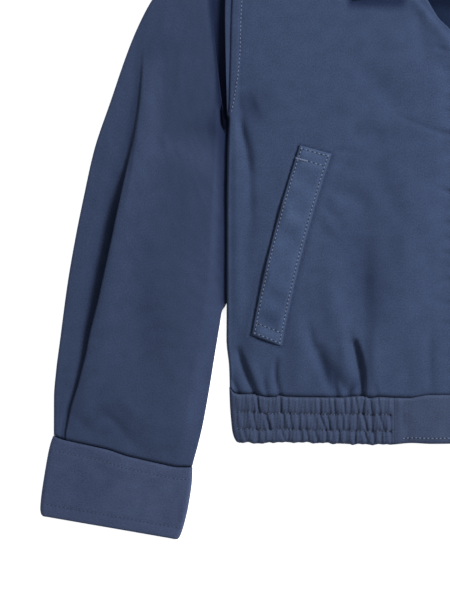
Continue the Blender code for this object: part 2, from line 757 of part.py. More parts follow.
def build_slider(collection, material):
    """The slider: two plates, the post between the spread halves, and the bridge that holds the pull."""
    plate_bottom, plate_top, _ = slider_levels()
    y = SLIDER_Y - ORIGIN_Y
    under_top = CHAIN_Z - BEAD_RADIUS - LAY_GAP
    post_height = plate_top - under_top + UNDER_PLATE
    post_y = y + 0.5 * (SLIDER_LENGTH - POST_LENGTH)
    room = 2.0 * LAY_GAP + PULL_BAR
    leg = (BRIDGE_WIDTH, BRIDGE_LEG, room + BRIDGE_BAR)
    leg_y = 0.5 * (BRIDGE_LENGTH - BRIDGE_LEG)
    leg_z = plate_top + 0.5 * (room + BRIDGE_BAR) - JOIN_OVERLAP
    boxes = (
        ((SLIDER_WIDTH, SLIDER_LENGTH, SLIDER_PLATE), (0.0, y, plate_bottom + 0.5 * SLIDER_PLATE)),
        ((POST_WIDTH, POST_LENGTH, post_height), (0.0, post_y, plate_top - 0.5 * post_height)),
        ((UNDER_WIDTH, SLIDER_LENGTH, UNDER_PLATE), (0.0, y, under_top - 0.5 * UNDER_PLATE)),
        (leg, (0.0, y - leg_y, leg_z)),
        (leg, (0.0, y + leg_y, leg_z)),
        ((BRIDGE_WIDTH, BRIDGE_LENGTH, BRIDGE_BAR), (0.0, y, plate_top + room + 0.5 * BRIDGE_BAR)),
    )
    box_object("zip_slider", boxes, collection, material)


def build_pull(collection, material):
    """The pull: a loop whose end bar turns under the bridge, and the tab beyond it."""
    _, _, axis_z = slider_levels()
    arm = 0.5 * (PULL_WIDTH - BRIDGE_WIDTH) - 2.0 * LAY_GAP
    arm_x = 0.5 * (PULL_WIDTH - arm)
    arm_y = 0.5 * (PULL_BAR - PULL_LOOP)
    tab_length = PULL_LENGTH - PULL_LOOP_OPEN
    tab_y = 0.5 * (PULL_BAR - PULL_LOOP_OPEN - PULL_LENGTH)
    boxes = (
        ((PULL_WIDTH, PULL_BAR, PULL_BAR), (0.0, 0.0, 0.0)),
        ((arm, PULL_LOOP, PULL_BAR), (-arm_x, arm_y, 0.0)),
        ((arm, PULL_LOOP, PULL_BAR), (arm_x, arm_y, 0.0)),
        ((PULL_WIDTH, tab_length, PULL_BAR), (0.0, tab_y, 0.0)),
    )
    made = box_object("zip_pull", boxes, collection, material)
    made.location = (0.0, (SLIDER_Y - ORIGIN_Y) * MM, axis_z * MM)


def clear_scene():
    """Remove whatever the scene holds."""
    for obj in list(bpy.data.objects):
        bpy.data.objects.remove(obj)


def main():
    """Build every piece."""
    clear_scene()
    collection = bpy.data.collections.new(COLLECTION)
    bpy.context.scene.collection.children.link(collection)
    twill = new_material("twill", NAVY, 0.85)
    trim = new_material("twill_double", NAVY_DARK, 0.85)
    tape = new_material("zip_tape", ZIP_TAPE, 0.7)
    metal = new_material("zip_metal", ZIP_METAL, 0.35, 1.0)
    build_back_panel(collection, twill)
    build_hem_band(collection, trim)
    build_collar(collection, trim)
    build_slider(collection, metal)
    build_pull(collection, metal)
    for word, side in (("right", -1), ("left", 1)):
        build_front(f"front_{word}", side, collection, twill)
        build_sleeve(f"sleeve_{word}", side, collection, twill)
        build_cuff(f"cuff_{word}", side, collection, trim)
        build_hem_tab(f"hem_tab_{word}", side, collection, trim)
        build_welt(f"pocket_welt_{word}", side, collection, trim)
        build_zip_half(f"zip_half_{word}", side, collection, tape)


main()
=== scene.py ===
"""A child's zip blouson in slate-navy cotton twill, laid flat and seen from straight above.

Plans and sizes are in millimetres: "out" is the distance from the centre front towards a side, y runs from
the hem (low) to the collar (high) and z is up from the surface that the jacket lies on. Grids and paths of
finished pieces are in metres, in the shared frame. A shade is painted shade, 0 to 1: colour darkened where
a point lies hidden in a fold or in shadow. A little below 0 it is painted light on rims and edges.
"""

from __future__ import annotations

import logging
import math
from dataclasses import dataclass, replace
from enum import Enum
from functools import partial

import bmesh
import bpy
import numpy as np
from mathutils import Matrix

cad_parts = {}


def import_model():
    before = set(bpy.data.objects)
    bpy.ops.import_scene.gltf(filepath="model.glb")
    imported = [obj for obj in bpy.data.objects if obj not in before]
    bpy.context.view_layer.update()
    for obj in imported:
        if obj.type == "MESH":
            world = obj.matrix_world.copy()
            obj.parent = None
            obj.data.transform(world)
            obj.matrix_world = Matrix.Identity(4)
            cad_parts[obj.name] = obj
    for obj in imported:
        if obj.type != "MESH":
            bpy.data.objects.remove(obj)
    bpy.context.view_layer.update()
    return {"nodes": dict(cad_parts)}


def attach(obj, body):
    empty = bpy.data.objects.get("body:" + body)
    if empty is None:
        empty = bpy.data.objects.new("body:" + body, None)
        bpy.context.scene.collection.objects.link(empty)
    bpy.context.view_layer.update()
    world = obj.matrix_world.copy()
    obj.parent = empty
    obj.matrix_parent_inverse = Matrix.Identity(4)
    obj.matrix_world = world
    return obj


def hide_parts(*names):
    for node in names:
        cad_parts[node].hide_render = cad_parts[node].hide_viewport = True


LOG = logging.getLogger("blouson")
Array = np.ndarray
Rows = tuple[tuple[float, ...], ...]
Point = tuple[float, float]
Pair = tuple[Array, Array]
Inputs = dict[int | str, object]
Object = bpy.types.Object
Material = bpy.types.Material
Node = bpy.types.Node
Socket = bpy.types.NodeSocket
Tree = bpy.types.NodeTree

MM = 0.001
ORIGIN_Y = 2.05
BAND_WIDTH = 34.0
ROOT_BODY = "jacket"
# name of the attribute that holds each point's painted shade (painted light below 0)
PAINTED_SHADE_MAP = "painted_shade"
CLOTH_MAP = "cloth"


class Side(Enum):
    """The wearer's two sides, by their sign along X."""

    RIGHT = -1
    LEFT = 1

    @property
    def word(self) -> str:
        """The side's word, as piece names end with it."""
        return self.name.lower()


# ---- numbers


def smooth(value: Array | float) -> Array:
    """Ease a value from 0 to 1 with flat ends: below 0 it gives 0, above 1 it gives 1."""
    t = np.clip(value, 0.0, 1.0)
    return t * t * (3.0 - 2.0 * t)


def bump(distance: Array | float, width: float) -> Array:
    """A bell of height 1 that has nearly faded at this full width."""
    return np.exp(-((np.asarray(distance) / (0.5 * width)) ** 2))


def shares(count: int) -> Array:
    """Even shares from 0 to 1."""
    return np.linspace(0.0, 1.0, count)


def running(steps: Array) -> Array:
    """Running total of some steps, from 0."""
    return np.concatenate([[0.0], np.cumsum(steps)])


def eased(at: Array, knots: Array, values: Array) -> Array:
    """A smooth curve through a table that never overshoots its rows.

    Args:
        at: Places to read the curve at.
        knots: The rows' places, rising.
        values: One row of values for each knot.

    Returns:
        The values at each place, a row each.
    """
    knots = np.asarray(knots, float)
    values = np.asarray(values, float).reshape(len(knots), -1)
    step = np.diff(knots)[:, None]
    slope = np.diff(values, axis=0) / step
    inner = np.zeros_like(values)
    product = slope[1:] * slope[:-1]
    mean = 2.0 * product / np.where(product > 0.0, slope[1:] + slope[:-1], 1.0)
    inner[1:-1] = np.where(product > 0.0, mean, 0.0)
    inner[0] = slope[0]
    inner[-1] = slope[-1]
    at = np.clip(np.asarray(at, float), knots[0], knots[-1])
    cell = np.clip(np.searchsorted(knots, at, side="right") - 1, 0, len(knots) - 2)
    width = step[cell]
    t = ((at - knots[cell])[:, None]) / width
    return (
        (1.0 + 2.0 * t) * (1.0 - t) ** 2 * values[cell]
        + t * (1.0 - t) ** 2 * width * inner[cell]
        + t * t * (3.0 - 2.0 * t) * values[cell + 1]
        + t * t * (t - 1.0) * width * inner[cell + 1]
    )


def read_rows(rows: Rows, at: Array) -> Array:
    """A smooth curve through rows of a place and its value.

    Args:
        rows: The rows, with rising places.
        at: Places to read the curve at.

    Returns:
        The value at each place.
    """
    table = np.array(rows)
    at = np.asarray(at, float)
    return eased(at.ravel(), table[:, 0], table[:, 1]).reshape(at.shape)


def row_places(table: Array) -> Array:
    """Places of a table's rows along a piece, from 0, by the mean run of their two ends."""
    ends = np.hypot(*np.diff(table[:, 0:2], axis=0).T), np.hypot(*np.diff(table[:, 2:4], axis=0).T)
    return running(0.5 * (ends[0] + ends[1]))


def mix(start: Array | float, end: Array | float, share: Array | float) -> Array | float:
    """A value between two others: the start at share 0, the end at share 1."""
    return start + (end - start) * share


def between(row: Array, share: Array) -> Pair:
    """Out and y at shares of a row, which holds out and y of its start and of its end."""
    return mix(row[0], row[2], share), mix(row[1], row[3], share)


def row_width(row: Array) -> float:
    """Length of a row from its start to its end."""
    return float(np.hypot(row[2] - row[0], row[3] - row[1]))


def ripple(out: Array, y: Array, length: float, phase: float) -> Array:
    """A calm, uneven swell over the plan, between about -1 and 1.

    Args:
        out: Distance from the centre front.
        y: Height in the plan.
        length: Typical distance between two crests.
        phase: Shift that makes one swell unlike another.

    Returns:
        The swell at each point.
    """
    k = 2.0 * math.pi / length
    first = np.sin(k * (0.92 * out + 0.31 * y) + phase)
    second = np.sin(k * (0.27 * out - 1.07 * y) * 0.83 + 2.1 * phase + 1.3)
    third = np.sin(k * (0.71 * out + 0.77 * y) * 1.63 + 0.7 * phase + 4.0)
    return 0.42 * first + 0.36 * second + 0.22 * third


@dataclass(frozen=True)
class Fold:
    """One fold of the cloth: a soft ridge or trough along a bowed line that fades at its ends.

    Its lean makes one flank steeper: above 0 the flank on the line's left is drawn out.
    """

    out_a: float
    y_a: float
    out_b: float
    y_b: float
    bow: float
    width: float
    height: float
    lean: float = 0.0
    fade: float = 0.5

    def height_at(self, out: Array, y: Array) -> Array:
        """Height that this fold adds.

        Args:
            out: Distance from the centre front.
            y: Height in the plan.

        Returns:
            Added height.
        """
        run = np.array([self.out_b - self.out_a, self.y_b - self.y_a])
        length = float(np.hypot(*run))
        along = ((out - self.out_a) * run[0] + (y - self.y_a) * run[1]) / length**2
        off = (-(out - self.out_a) * run[1] + (y - self.y_a) * run[0]) / length
        t = np.clip(along, 0.0, 1.0)
        side = off - self.bow * 4.0 * t * (1.0 - t)
        past = np.maximum(np.maximum(-along, along - 1.0), 0.0) * length
        reach = 0.5 * self.width * np.where(side > 0.0, 1.0 + self.lean, 1.0 - self.lean)
        shape = np.exp(-((side / reach) ** 2) - (past / (0.5 * self.width)) ** 2)
        ends = np.sin(math.pi * np.clip(along, 0.04, 0.96)) ** self.fade
        return self.height * ends * shape


def folds_at(folds: tuple[Fold, ...], out: Array, y: Array) -> Array:
    """Sum of many folds.

    Args:
        folds: The folds.
        out: Distance from the centre front.
        y: Height in the plan.

    Returns:
        Added height.
    """
    total = np.zeros(np.broadcast(out, y).shape)
    for fold in folds:
        total = total + fold.height_at(out, y)
    return total

def fold_rows(*rows: tuple[float, ...]) -> tuple[Fold, ...]:
    """Folds from rows of their fields: both ends, bow, width, height, and at times lean and fade."""
    return tuple(Fold(*row) for row in rows)


def painted_shading_rows(*rows: tuple[float, ...]) -> tuple[Fold, ...]:
    """Painted light and shade along straight lines, from rows of both ends, width, shade, and at times fade.
    """
    return tuple(Fold(*row[:4], 0.0, *row[4:6], 0.0, *row[6:]) for row in rows)


def segment_distance(out: Array, y: Array, start: Point, end: Point) -> Array:
    """Distance in the plan from points to a straight stretch.

    Args:
        out: Distance from the centre front.
        y: Height in the plan.
        start: The stretch's first point.
        end: The stretch's last point.

    Returns:
        Distances.
    """
    run = np.subtract(end, start)
    along = ((out - start[0]) * run[0] + (y - start[1]) * run[1]) / float(run.dot(run))
    along = np.clip(along, 0.0, 1.0)
    return np.hypot(out - start[0] - along * run[0], y - start[1] - along * run[1])


def world(side: Side, out: Array, y: Array, z: Array) -> Array:
    """Points of one side in metres, in the shared frame.

    Args:
        side: Which side of the jacket.
        out: Distance from the centre front.
        y: Height in the plan.
        z: Height above the surface.

    Returns:
        An array with a last axis of three.
    """
    out, y, z = np.broadcast_arrays(out, y, z)
    return np.stack([side.value * out, y - ORIGIN_Y, z], axis=-1) * MM


# ---- finishes


def feed(tree: Tree, target: Node, inputs: Inputs) -> None:
    """Fill a node's inputs.

    Args:
        tree: The node's tree.
        target: The node.
        inputs: Sockets to link, or plain values, by the input's name or number.
    """
    for key, value in inputs.items():
        if isinstance(value, Socket):
            tree.links.new(value, target.inputs[key])
        else:
            target.inputs[key].default_value = value


def node(tree: Tree, kind: str, inputs: Inputs | None = None, **settings: object) -> Node:
    """A new node.

    Args:
        tree: The tree to add it to.
        kind: Blender's name of the node.
        inputs: Sockets to link, or plain values, by the input's name or number.
        settings: The node's own settings.

    Returns:
        The node.
    """
    made = tree.nodes.new(kind)
    for name, value in settings.items():
        setattr(made, name, value)
    feed(tree, made, inputs or {})
    return made


def math_node(tree: Tree, operation: str, first: Socket | float, second: Socket | float) -> Socket:
    """Result of a math node on two sockets or numbers."""
    return node(tree, "ShaderNodeMath", {0: first, 1: second}, operation=operation).outputs[0]


def vector_node(tree: Tree, operation: str, inputs: Inputs) -> Socket:
    """Result of a vector math node."""
    return node(tree, "ShaderNodeVectorMath", inputs, operation=operation).outputs[0]


def noise_node(tree: Tree, vector: Socket, scale: float, detail: float) -> Socket:
    """Value of a noise texture with this many cells to a unit and octaves."""
    return node(tree, "ShaderNodeTexNoise", {"Vector": vector, "Scale": scale, "Detail": detail}).outputs[0]


def node_group(name: str, kind: str, inputs: dict[str, str], outputs: dict[str, str]) -> Tree:
    """An empty node group.

    Args:
        name: The group's name.
        kind: Shader or Geometry.
        inputs: Types of its inputs by their names.
        outputs: Types of its outputs by their names.

    Returns:
        The group's tree.
    """
    tree = bpy.data.node_groups.new(name, f"{kind}NodeTree")
    for way, sockets in (("INPUT", inputs), ("OUTPUT", outputs)):
        for label, sort in sockets.items():
            tree.interface.new_socket(label, in_out=way, socket_type=f"NodeSocket{sort}")
    return tree


def twill_group() -> Tree:
    """The weave that all cloth shares: diagonal twill lines, yarn slubs and a faint mottle.

    Its coordinates are the cloth's own, in metres. Tone is a brightness of about 1, Height is the relief.

    Returns:
        The group's tree.
    """
    inputs = {"Vector": "Vector", **dict.fromkeys(("Line pitch", "Grain", "Mottle"), "Float")}
    tree = node_group("twill_weave", "Shader", inputs, {"Tone": "Float", "Height": "Float"})
    add, times = partial(math_node, tree, "ADD"), partial(math_node, tree, "MULTIPLY")
    less = partial(math_node, tree, "SUBTRACT")
    enter = node(tree, "NodeGroupInput").outputs
    vector = enter["Vector"]
    split = node(tree, "ShaderNodeSeparateXYZ", {0: vector}).outputs
    diagonal = add(times(split[0], 0.8), times(split[1], 1.2))
    turns = math_node(tree, "DIVIDE", diagonal, enter["Line pitch"])
    wobble = add(turns, times(noise_node(tree, vector, 900.0, 1.0), 0.7))
    line = math_node(tree, "SINE", times(wobble, 2.0 * math.pi), 0.0)
    speck = noise_node(tree, vector, 1050.0, 2.0)
    grain = times(less(speck, 0.5), enter["Grain"])
    mottle = times(less(noise_node(tree, vector, 95.0, 3.0), 0.5), enter["Mottle"])
    lined = add(add(times(grain, 1.6), times(mottle, 0.5)), times(line, 0.03))
    node(tree, "NodeGroupOutput", {"Tone": add(lined, 1.0), "Height": add(times(line, 0.35), speck)})
    return tree


def new_material(name: str) -> tuple[Material, Tree, Node]:
    """A new material, its tree and its Principled shader.

    Args:
        name: The material's name.

    Returns:
        The three.
    """
    made = bpy.data.materials.new(name)
    made.use_nodes = True
    return made, made.node_tree, made.node_tree.nodes["Principled BSDF"]


@dataclass(frozen=True)
class ClothFinish:
    """A woven finish in one colour, with its grain from the piece's own cloth coordinates and its painted
    shade.
    """

    name: str
    slot: str
    colour: tuple[float, float, float]
    roughness: float = 0.88
    sheen: float = 0.01
    specular: float = 0.02
    grain: float = 1.0
    mottle: float = 1.0
    line_pitch: float = 0.0006
    relief: float = 0.00006
    painted_shade_loss: tuple[float, float, float] = (0.86, 0.82, 0.68)

    def material(self, weave: Tree) -> Material:
        """Build the material.

        Args:
            weave: The shared weave group.

        Returns:
            The new material.
        """
        made, tree, shader = new_material(self.name)
        place = node(tree, "ShaderNodeUVMap", uv_map=CLOTH_MAP).outputs[0]
        sizes = {"Vector": place, "Line pitch": self.line_pitch, "Grain": self.grain, "Mottle": self.mottle}
        cloth = node(tree, "ShaderNodeGroup", sizes, node_tree=weave).outputs
        tint = vector_node(tree, "SCALE", {0: self.colour, "Scale": cloth["Tone"]})
        # painted shade: each point's painted shade darkens the base colour, a little less in blue; below 0
        # it is painted light
        fold = node(tree, "ShaderNodeAttribute", attribute_name=PAINTED_SHADE_MAP).outputs["Fac"]
        loss = [-loss for loss in self.painted_shade_loss]
        left = vector_node(tree, "MULTIPLY_ADD", {0: loss, 1: fold, 2: (1.0, 1.0, 1.0)})
        raised = {"Strength": 0.5, "Distance": self.relief, "Height": cloth["Height"]}
        looks = {
            "Base Color": vector_node(tree, "MULTIPLY", {0: tint, 1: left}),
            "Normal": node(tree, "ShaderNodeBump", raised).outputs[0],
            "Roughness": self.roughness,
            "Specular IOR Level": self.specular,
            "Sheen Weight": self.sheen,
            "Sheen Roughness": 0.6,
        }
        feed(tree, shader, looks)
        return made


@dataclass(frozen=True)
class PlainFinish:
    """Thread, coil or metal: one colour with a fine speckle."""

    name: str
    slot: str
    colour: tuple[float, float, float]
    roughness: float
    metallic: float = 0.0
    speckle: float = 0.15
    speckle_scale: float = 1500.0

    def material(self) -> Material:
        """Build the material.

        Returns:
            The new material.
        """
        made, tree, shader = new_material(self.name)
        place = node(tree, "ShaderNodeTexCoord").outputs["Object"]
        speck = noise_node(tree, place, self.speckle_scale, 2.0)
        add, times = partial(math_node, tree, "ADD"), partial(math_node, tree, "MULTIPLY")
        tone = add(times(speck, 2.0 * self.speckle), 1.0 - self.speckle)
        rough = add(times(speck, 0.12), self.roughness - 0.06)
        tint = vector_node(tree, "SCALE", {0: self.colour, "Scale": tone})
        feed(tree, shader, {"Base Color": tint, "Roughness": rough, "Metallic": self.metallic})
        return made


TWILL = ClothFinish("twill_body", "twill", (0.0292, 0.0436, 0.0867), grain=0.65, mottle=0.7)
# painted shade: a darker copy of the body twill for the sleeves
TWILL_SLEEVE_SHADED = ClothFinish("twill_sleeve_shaded", "twill", (0.0274, 0.0398, 0.0799), grain=0.6, mottle=0.7)
TWILL_DOUBLE = ClothFinish("twill_trim", "twill_double", (0.0331, 0.0452, 0.0839), grain=0.7, mottle=0.8)
# painted light: a lighter copy of the trim twill for the cuffs
TWILL_CUFF_LIT = ClothFinish("twill_cuff_lit", "twill_double", (0.0378, 0.0510, 0.0982), grain=0.65, mottle=0.9)
TWILL_WELT = ClothFinish("twill_welt", "twill_double", (0.0355, 0.0540, 0.1047), grain=0.7, mottle=0.9)
# painted shade: the inside twill is far darker than the outer twill, standing for the shadow in the neck
# opening as well as the cloth's duller reverse
INSIDE_SHADED = ClothFinish("twill_inside_shaded", "twill", (0.0078, 0.0140, 0.033))
TAPE = ClothFinish("zip_tape_weave", "zip_tape", (0.009, 0.014, 0.032), grain=0.5, line_pitch=0.0011)
THREAD = PlainFinish("thread", "twill_double", (0.1, 0.128, 0.212), 0.6)
THREAD_DARK = PlainFinish("thread_tonal", "twill_double", (0.058, 0.078, 0.15), 0.7)
# painted shadow: near-black beads for the needle holes between stitches
HOLE_SHADOW = PlainFinish("needle_hole", "twill_double", (0.004, 0.006, 0.013), 0.9)
COIL = PlainFinish("zip_coil", "zip_tape", (0.011, 0.016, 0.032), 0.35)
METAL = PlainFinish("satin_nickel", "zip_metal", (0.42, 0.41, 0.39), 0.34, metallic=1.0, speckle=0.05)


# ---- meshes


def grid_quads(rows: int, columns: int, closed: bool, flip: bool) -> Array:
    """Corner indices of a grid's quads.

    Args:
        rows: Rows of points.
        columns: Points in a row.
        closed: Whether each row is a ring.
        flip: Whether the faces are turned over.

    Returns:
        An array of quads.
    """
    across = np.arange(columns if closed else columns - 1)
    row, column = np.meshgrid(columns * np.arange(rows - 1), across, indexing="ij")
    after = (column + 1) % columns
    corners = [row + column, row + after, row + columns + after, row + columns + column]
    quads = np.stack(corners, axis=-1).reshape(-1, 4)
    return quads[:, ::-1] if flip else quads


def cloth_coordinates(points: Array) -> Array:
    """Coordinates in the cloth itself, in metres, from the lengths along a grid's rows and columns.

    Args:
        points: Grid of points.

    Returns:
        A grid with a last axis of two.
    """
    across = np.linalg.norm(np.diff(points, axis=1), axis=-1)
    along = np.linalg.norm(np.diff(points, axis=0), axis=-1)
    u = np.concatenate([np.zeros((len(points), 1)), np.cumsum(across, axis=1)], axis=1)
    u = u - u[:, [u.shape[1] // 2]]
    v = running(along.mean(axis=1))
    return np.stack([u, np.broadcast_to(v[:, None], u.shape)], axis=-1)


def shown(name: str, data: bpy.types.ID) -> Object:
    """A new object, linked to the scene.

    Args:
        name: Its name.
        data: Its mesh, lamp or camera.

    Returns:
        The object.
    """
    made = bpy.data.objects.new(name, data)
    bpy.context.scene.collection.objects.link(made)
    return made


def cloth_object(
    name: str,
    points: Array,
    material: Material,
    thickness: float,
    closed: bool = False,
    flip: bool = False,
    offset: float = -1.0,
    shade: Array | None = None,
) -> Object:
    """A cloth wall on a grid of points, with its own cloth coordinates.

    Args:
        name: The piece's name.
        points: Grid of points on the wall's outer face.
        material: The finish.
        thickness: The wall.
        closed: Whether each row is a ring.
        flip: Whether the faces are turned over to point outwards.
        offset: Where the wall lies from the points: -1 inside, 1 outside.
        shade: The painted shade at each point.

    Returns:
        The new object.
    """
    quads = grid_quads(*points.shape[:2], closed, flip)
    mesh = bpy.data.meshes.new(name)
    mesh.from_pydata(points.reshape(-1, 3).tolist(), [], quads.tolist())
    flat = cloth_coordinates(points).reshape(-1, 2)
    layer = mesh.uv_layers.new(name=CLOTH_MAP)
    layer.data.foreach_set("uv", flat[quads.ravel()].astype(np.float32).ravel())
    # painted shade, stored as a point attribute for the material
    if shade is not None:
        depth = mesh.attributes.new(PAINTED_SHADE_MAP, "FLOAT", "POINT")
        depth.data.foreach_set("value", shade.astype(np.float32).ravel())
    mesh.materials.append(material)
    mesh.shade_smooth()
    made = shown(name, mesh)
    wall = made.modifiers.new("wall", "SOLIDIFY")
    wall.thickness = thickness * MM
    wall.offset = offset
    return made


def declare(
    piece: Object, solid: str
) -> None:
    """Fix a cloth piece to the jacket and hide the solid that it stands for.

    Args:
        piece: The finished piece.
        solid: The solid that it stands for.
    """
    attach(piece, ROOT_BODY)
    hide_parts(solid)


@dataclass
class ClothPiece:
    """A cloth piece; each kind says which solid it stands for and gives its points."""

    side: Side | None = None
    solid: str = ""
    slot: str = TWILL.slot
    rests_on: tuple[str, ...] = ("back_panel",)
    turned: Side = Side.RIGHT
    closed: bool = False
    wall: float = 0.7
    offset: float = -1.0
    stitch_lift: float = 0.12

    def points(self) -> tuple[Array, Array | None]:
        """The piece's outer face as a grid, and the painted shade at each of its points."""
        raise NotImplementedError

    def build(self, material: Material) -> None:
        """Build the piece.

        Args:
            material: Its finish.
        """
        points, shade = self.points()
        solid = f"{self.solid}_{self.side.word}" if self.side else self.solid
        flip = self.side is self.turned
        name = f"shell_{solid}"
        piece = cloth_object(name, points, material, self.wall, self.closed, flip, self.offset, shade)
        declare(piece, solid)


# ---- the body


@dataclass(frozen=True)
class BodyPlan:
    """Plan of the body that fronts and back share: rows from the centre edge to the side or armhole."""

    centre_edge: float = 5.0
    tab_seam: float = 46.4
    hem_y: float = -134.8
    underarm: Point = (162.4, 58.8)
    shoulder_tip: Point = (150.5, 203.0)
    neck_tip: Point = (68.6, 226.0)
    back_neck_y: float = 218.2
    vent_y: float = 113.4
    vent_slope: float = 0.86
    seam_gap: float = 0.4
    rows: Rows = (
        (5, -134.4, 161.2, -129.2), (5, -118, 161.6, -116), (5, -96, 163.5, -96), (5, -72, 163.4, -72),
        (5, 0, 163.4, 0), (5, 60, 162.4, 58.8), (5, 106, 161.8, 86), (5, 117, 161.3, 104),
        (15.4, 129.6, 160.9, 121), (24, 144, 160.3, 138), (48, 182, 157.4, 166), (66.6, 220, 151.2, 197.4),
        (68.6, 226, 150.5, 203),
    )
    hem_seam: Rows = (
        (0, -135), (10, -135), (22.4, -135.1), (29.4, -136.2), (35, -137.2), (46, -137), (57, -136.4),
        (62.3, -137.1), (69, -135.8), (73, -136), (84, -136.8), (112, -136.5), (123.2, -136),
        (126.7, -135.2), (129.5, -136.3), (134.4, -136.5), (140, -135.4), (145.6, -134.3), (154, -134.5),
        (157.4, -133.9), (159.8, -132.2), (162.4, -128.2),
    )
    hem_end: Rows = (
        (0, -169.3), (20, -169.4), (34, -168.8), (49, -169.9), (70, -169.7), (91, -169), (112, -168.4),
        (126, -168.2), (140, -169), (158, -168), (162, -167.6),
    )

    def hem_seam_y(self, out: Array) -> Array:
        """Where the hem seam runs: nearly level, but higher at the side corner."""
        return read_rows(self.hem_seam, out)

    def hem_end_y(self, out: Array) -> Array:
        """Where the jacket ends below: the band's free edge."""
        return read_rows(self.hem_end, out)

    def band_y(self, out: Array, share: Array | float) -> Array:
        """Plan height on the hem band at a share of its width, from the seam down."""
        return mix(self.hem_seam_y(out), self.hem_end_y(out), share)

    def side_out(self, y: Array) -> Array:
        """How far out the side seam lies at a height of the plan."""
        table = np.array(self.rows)
        return eased(np.atleast_1d(y), table[:6, 3], table[:6, 2])[:, 0]

    def side_gap(self, out: Array, y: Array) -> Array:
        """Distance from a place of the plan to the side seam below the arm.

        Args:
            out: Distance from the centre front.
            y: Height in the plan.

        Returns:
            The distance.
        """
        out, y = np.broadcast_arrays(np.asarray(out, float), np.asarray(y, float))
        beside = np.minimum(y, self.underarm[1])
        inside = np.maximum(self.side_out(beside.ravel()).reshape(y.shape) - out, 0.0)
        return np.hypot(inside, y - beside)

    def spread(self, count: int) -> Array:
        """The body's rows, evenly spaced along the panel.

        Args:
            count: Number of rows.

        Returns:
            An array of rows with centre out, centre y, side out, side y.
        """
        table = np.array(self.rows)
        knots = row_places(table)
        return eased(np.linspace(0.0, knots[-1], count), knots, table)

    def hem_corner(self, out: Array, y: Array, row_count: int) -> Array:
        """How far the first rows of a panel move down or up to meet the hem's seam.

        Args:
            out: Plan of the panel's grid.
            y: Plan of the panel's grid.
            row_count: Rows over which the move fades.

        Returns:
            The move at each point.
        """
        lift = self.hem_seam_y(out) + self.seam_gap - y[0]
        return lift * smooth(1.0 - np.arange(len(y))[:, None] / row_count)

    def armhole_out(self, y: Array) -> Array:
        """How far out the armhole seam lies.

        Args:
            y: Height in the plan.

        Returns:
            The seam's out.
        """
        rows = self.spread(400)
        seam = rows[rows[:, 3] >= self.underarm[1]]
        return np.interp(y, seam[:, 3], seam[:, 2])


PLAN = BodyPlan()

FRONT_FOLDS = fold_rows(
    # hollow under the arm and the crease that runs down beside the side seam
    (141, 68, 156, 62, 0, 17, -2.6), (154.6, 72, 152.6, 40, 0, 6, -1.8),
    (154.4, 56, 148.6, 22, -0.8, 5, -2.6, -0.3, 0.35), (146.8, 34, 146.2, -16, 0.6, 5.6, -1.4),
    (146, 0, 150, -64, 1, 9, -0.9), (156.6, 60, 155.6, -84, 0, 7.5, 1.1, 0, 0.3),
    (140, -36, 152, -94, 0, 13, -1.3),
    # folds that the elastic draws in above the band
    (155, -104, 140.6, -140, 0.8, 4.6, -3.4, 0.3, 0.25), (160, -124, 154, -136, 0, 3.6, -1.6, 0, 0.3),
    (148.6, -108, 136, -138, 0, 6, 1.2), (129, -110, 125.4, -137, 2.1, 2.9, -2.4, -0.2, 0.3),
    (133.4, -118, 133, -136, 0, 5, 0.9), (137.6, -126, 133.6, -137.5, 0.6, 2.4, -1.5, 0, 0.3),
    (118, -74, 113, -136, -2, 15, 1.3), (106, -86, 100, -112, 0.6, 6, -1.8),
    (99, -104, 88, -134, 1.4, 8, -3.9, -0.2, 0.35), (90, -116, 74, -138, 1.4, 6, -1.8, -0.3, 0.35),
    (88.6, -122, 85.8, -137, 0, 2.6, -1.4, 0, 0.3), (77, -92, 70, -122, -0.6, 7, -2.4, 0.5, 0.35),
    (72.8, -99, 68.6, -141, -2.6, 5, -5, 0.5, 0.2), (72.6, -125, 80.4, -138, 0.8, 4, -2.4, 0, 0.3),
    (82.4, -84, 81, -118, -1, 9, 1.6), (60.6, -92, 58, -132, 1, 9, 1.5, 0, 0.4),
    (60, -128, 57.6, -137, 0, 2.6, -0.9, 0, 0.3), (38, -104, 36, -138, 0, 9, -0.6),
    (21, -88, 20, -138, 1, 6.5, -0.9),
    # long swells of the panel
    (66, -20, 66, -98, 2, 19, -3.4, 0.25), (90, -40, 87, -100, 1, 15, 1.9), (38, 0, 44, -116, -3, 28, 2.2),
    (9, 20, 14, -90, 0, 14, -0.6), (62, 30, 46, -4, 1, 15, -1.1), (78, 43, 30, 42, 0, 12, -0.7),
    (74, 98, 42, 66, 0, 19, -2), (45, 61.5, 9, 46.5, 0.6, 2.8, -0.8, 0, 0.35),
    (54, 122, 16, 78, 0, 22, 1.3), (80, 48, 50, 46, 0, 13, -1.7), (86, 8, 62, -4, 0, 16, -2),
    (36, 8, 14, -28, 0, 18, 1.1), (32.4, 146, 25.4, 104, 0, 9, -1), (112, 130, 126, 50, 4, 30, 0.7),
    (15, 107.5, 7, 105, 0, 3.4, -1.3, 0, 0.3),
    # wrinkles round the pocket
    (90, 35.8, 74, 36.6, 0.6, 4, -1.1, 0, 0.3), (86, 28, 66, 18, 0, 8, -0.6), (94, 6, 84, -2, 0, 6, 0.7),
    (96, -12, 84, -24, 0, 7, 0.7), (97, -3, 85, -12, 0, 5, -0.6),
)
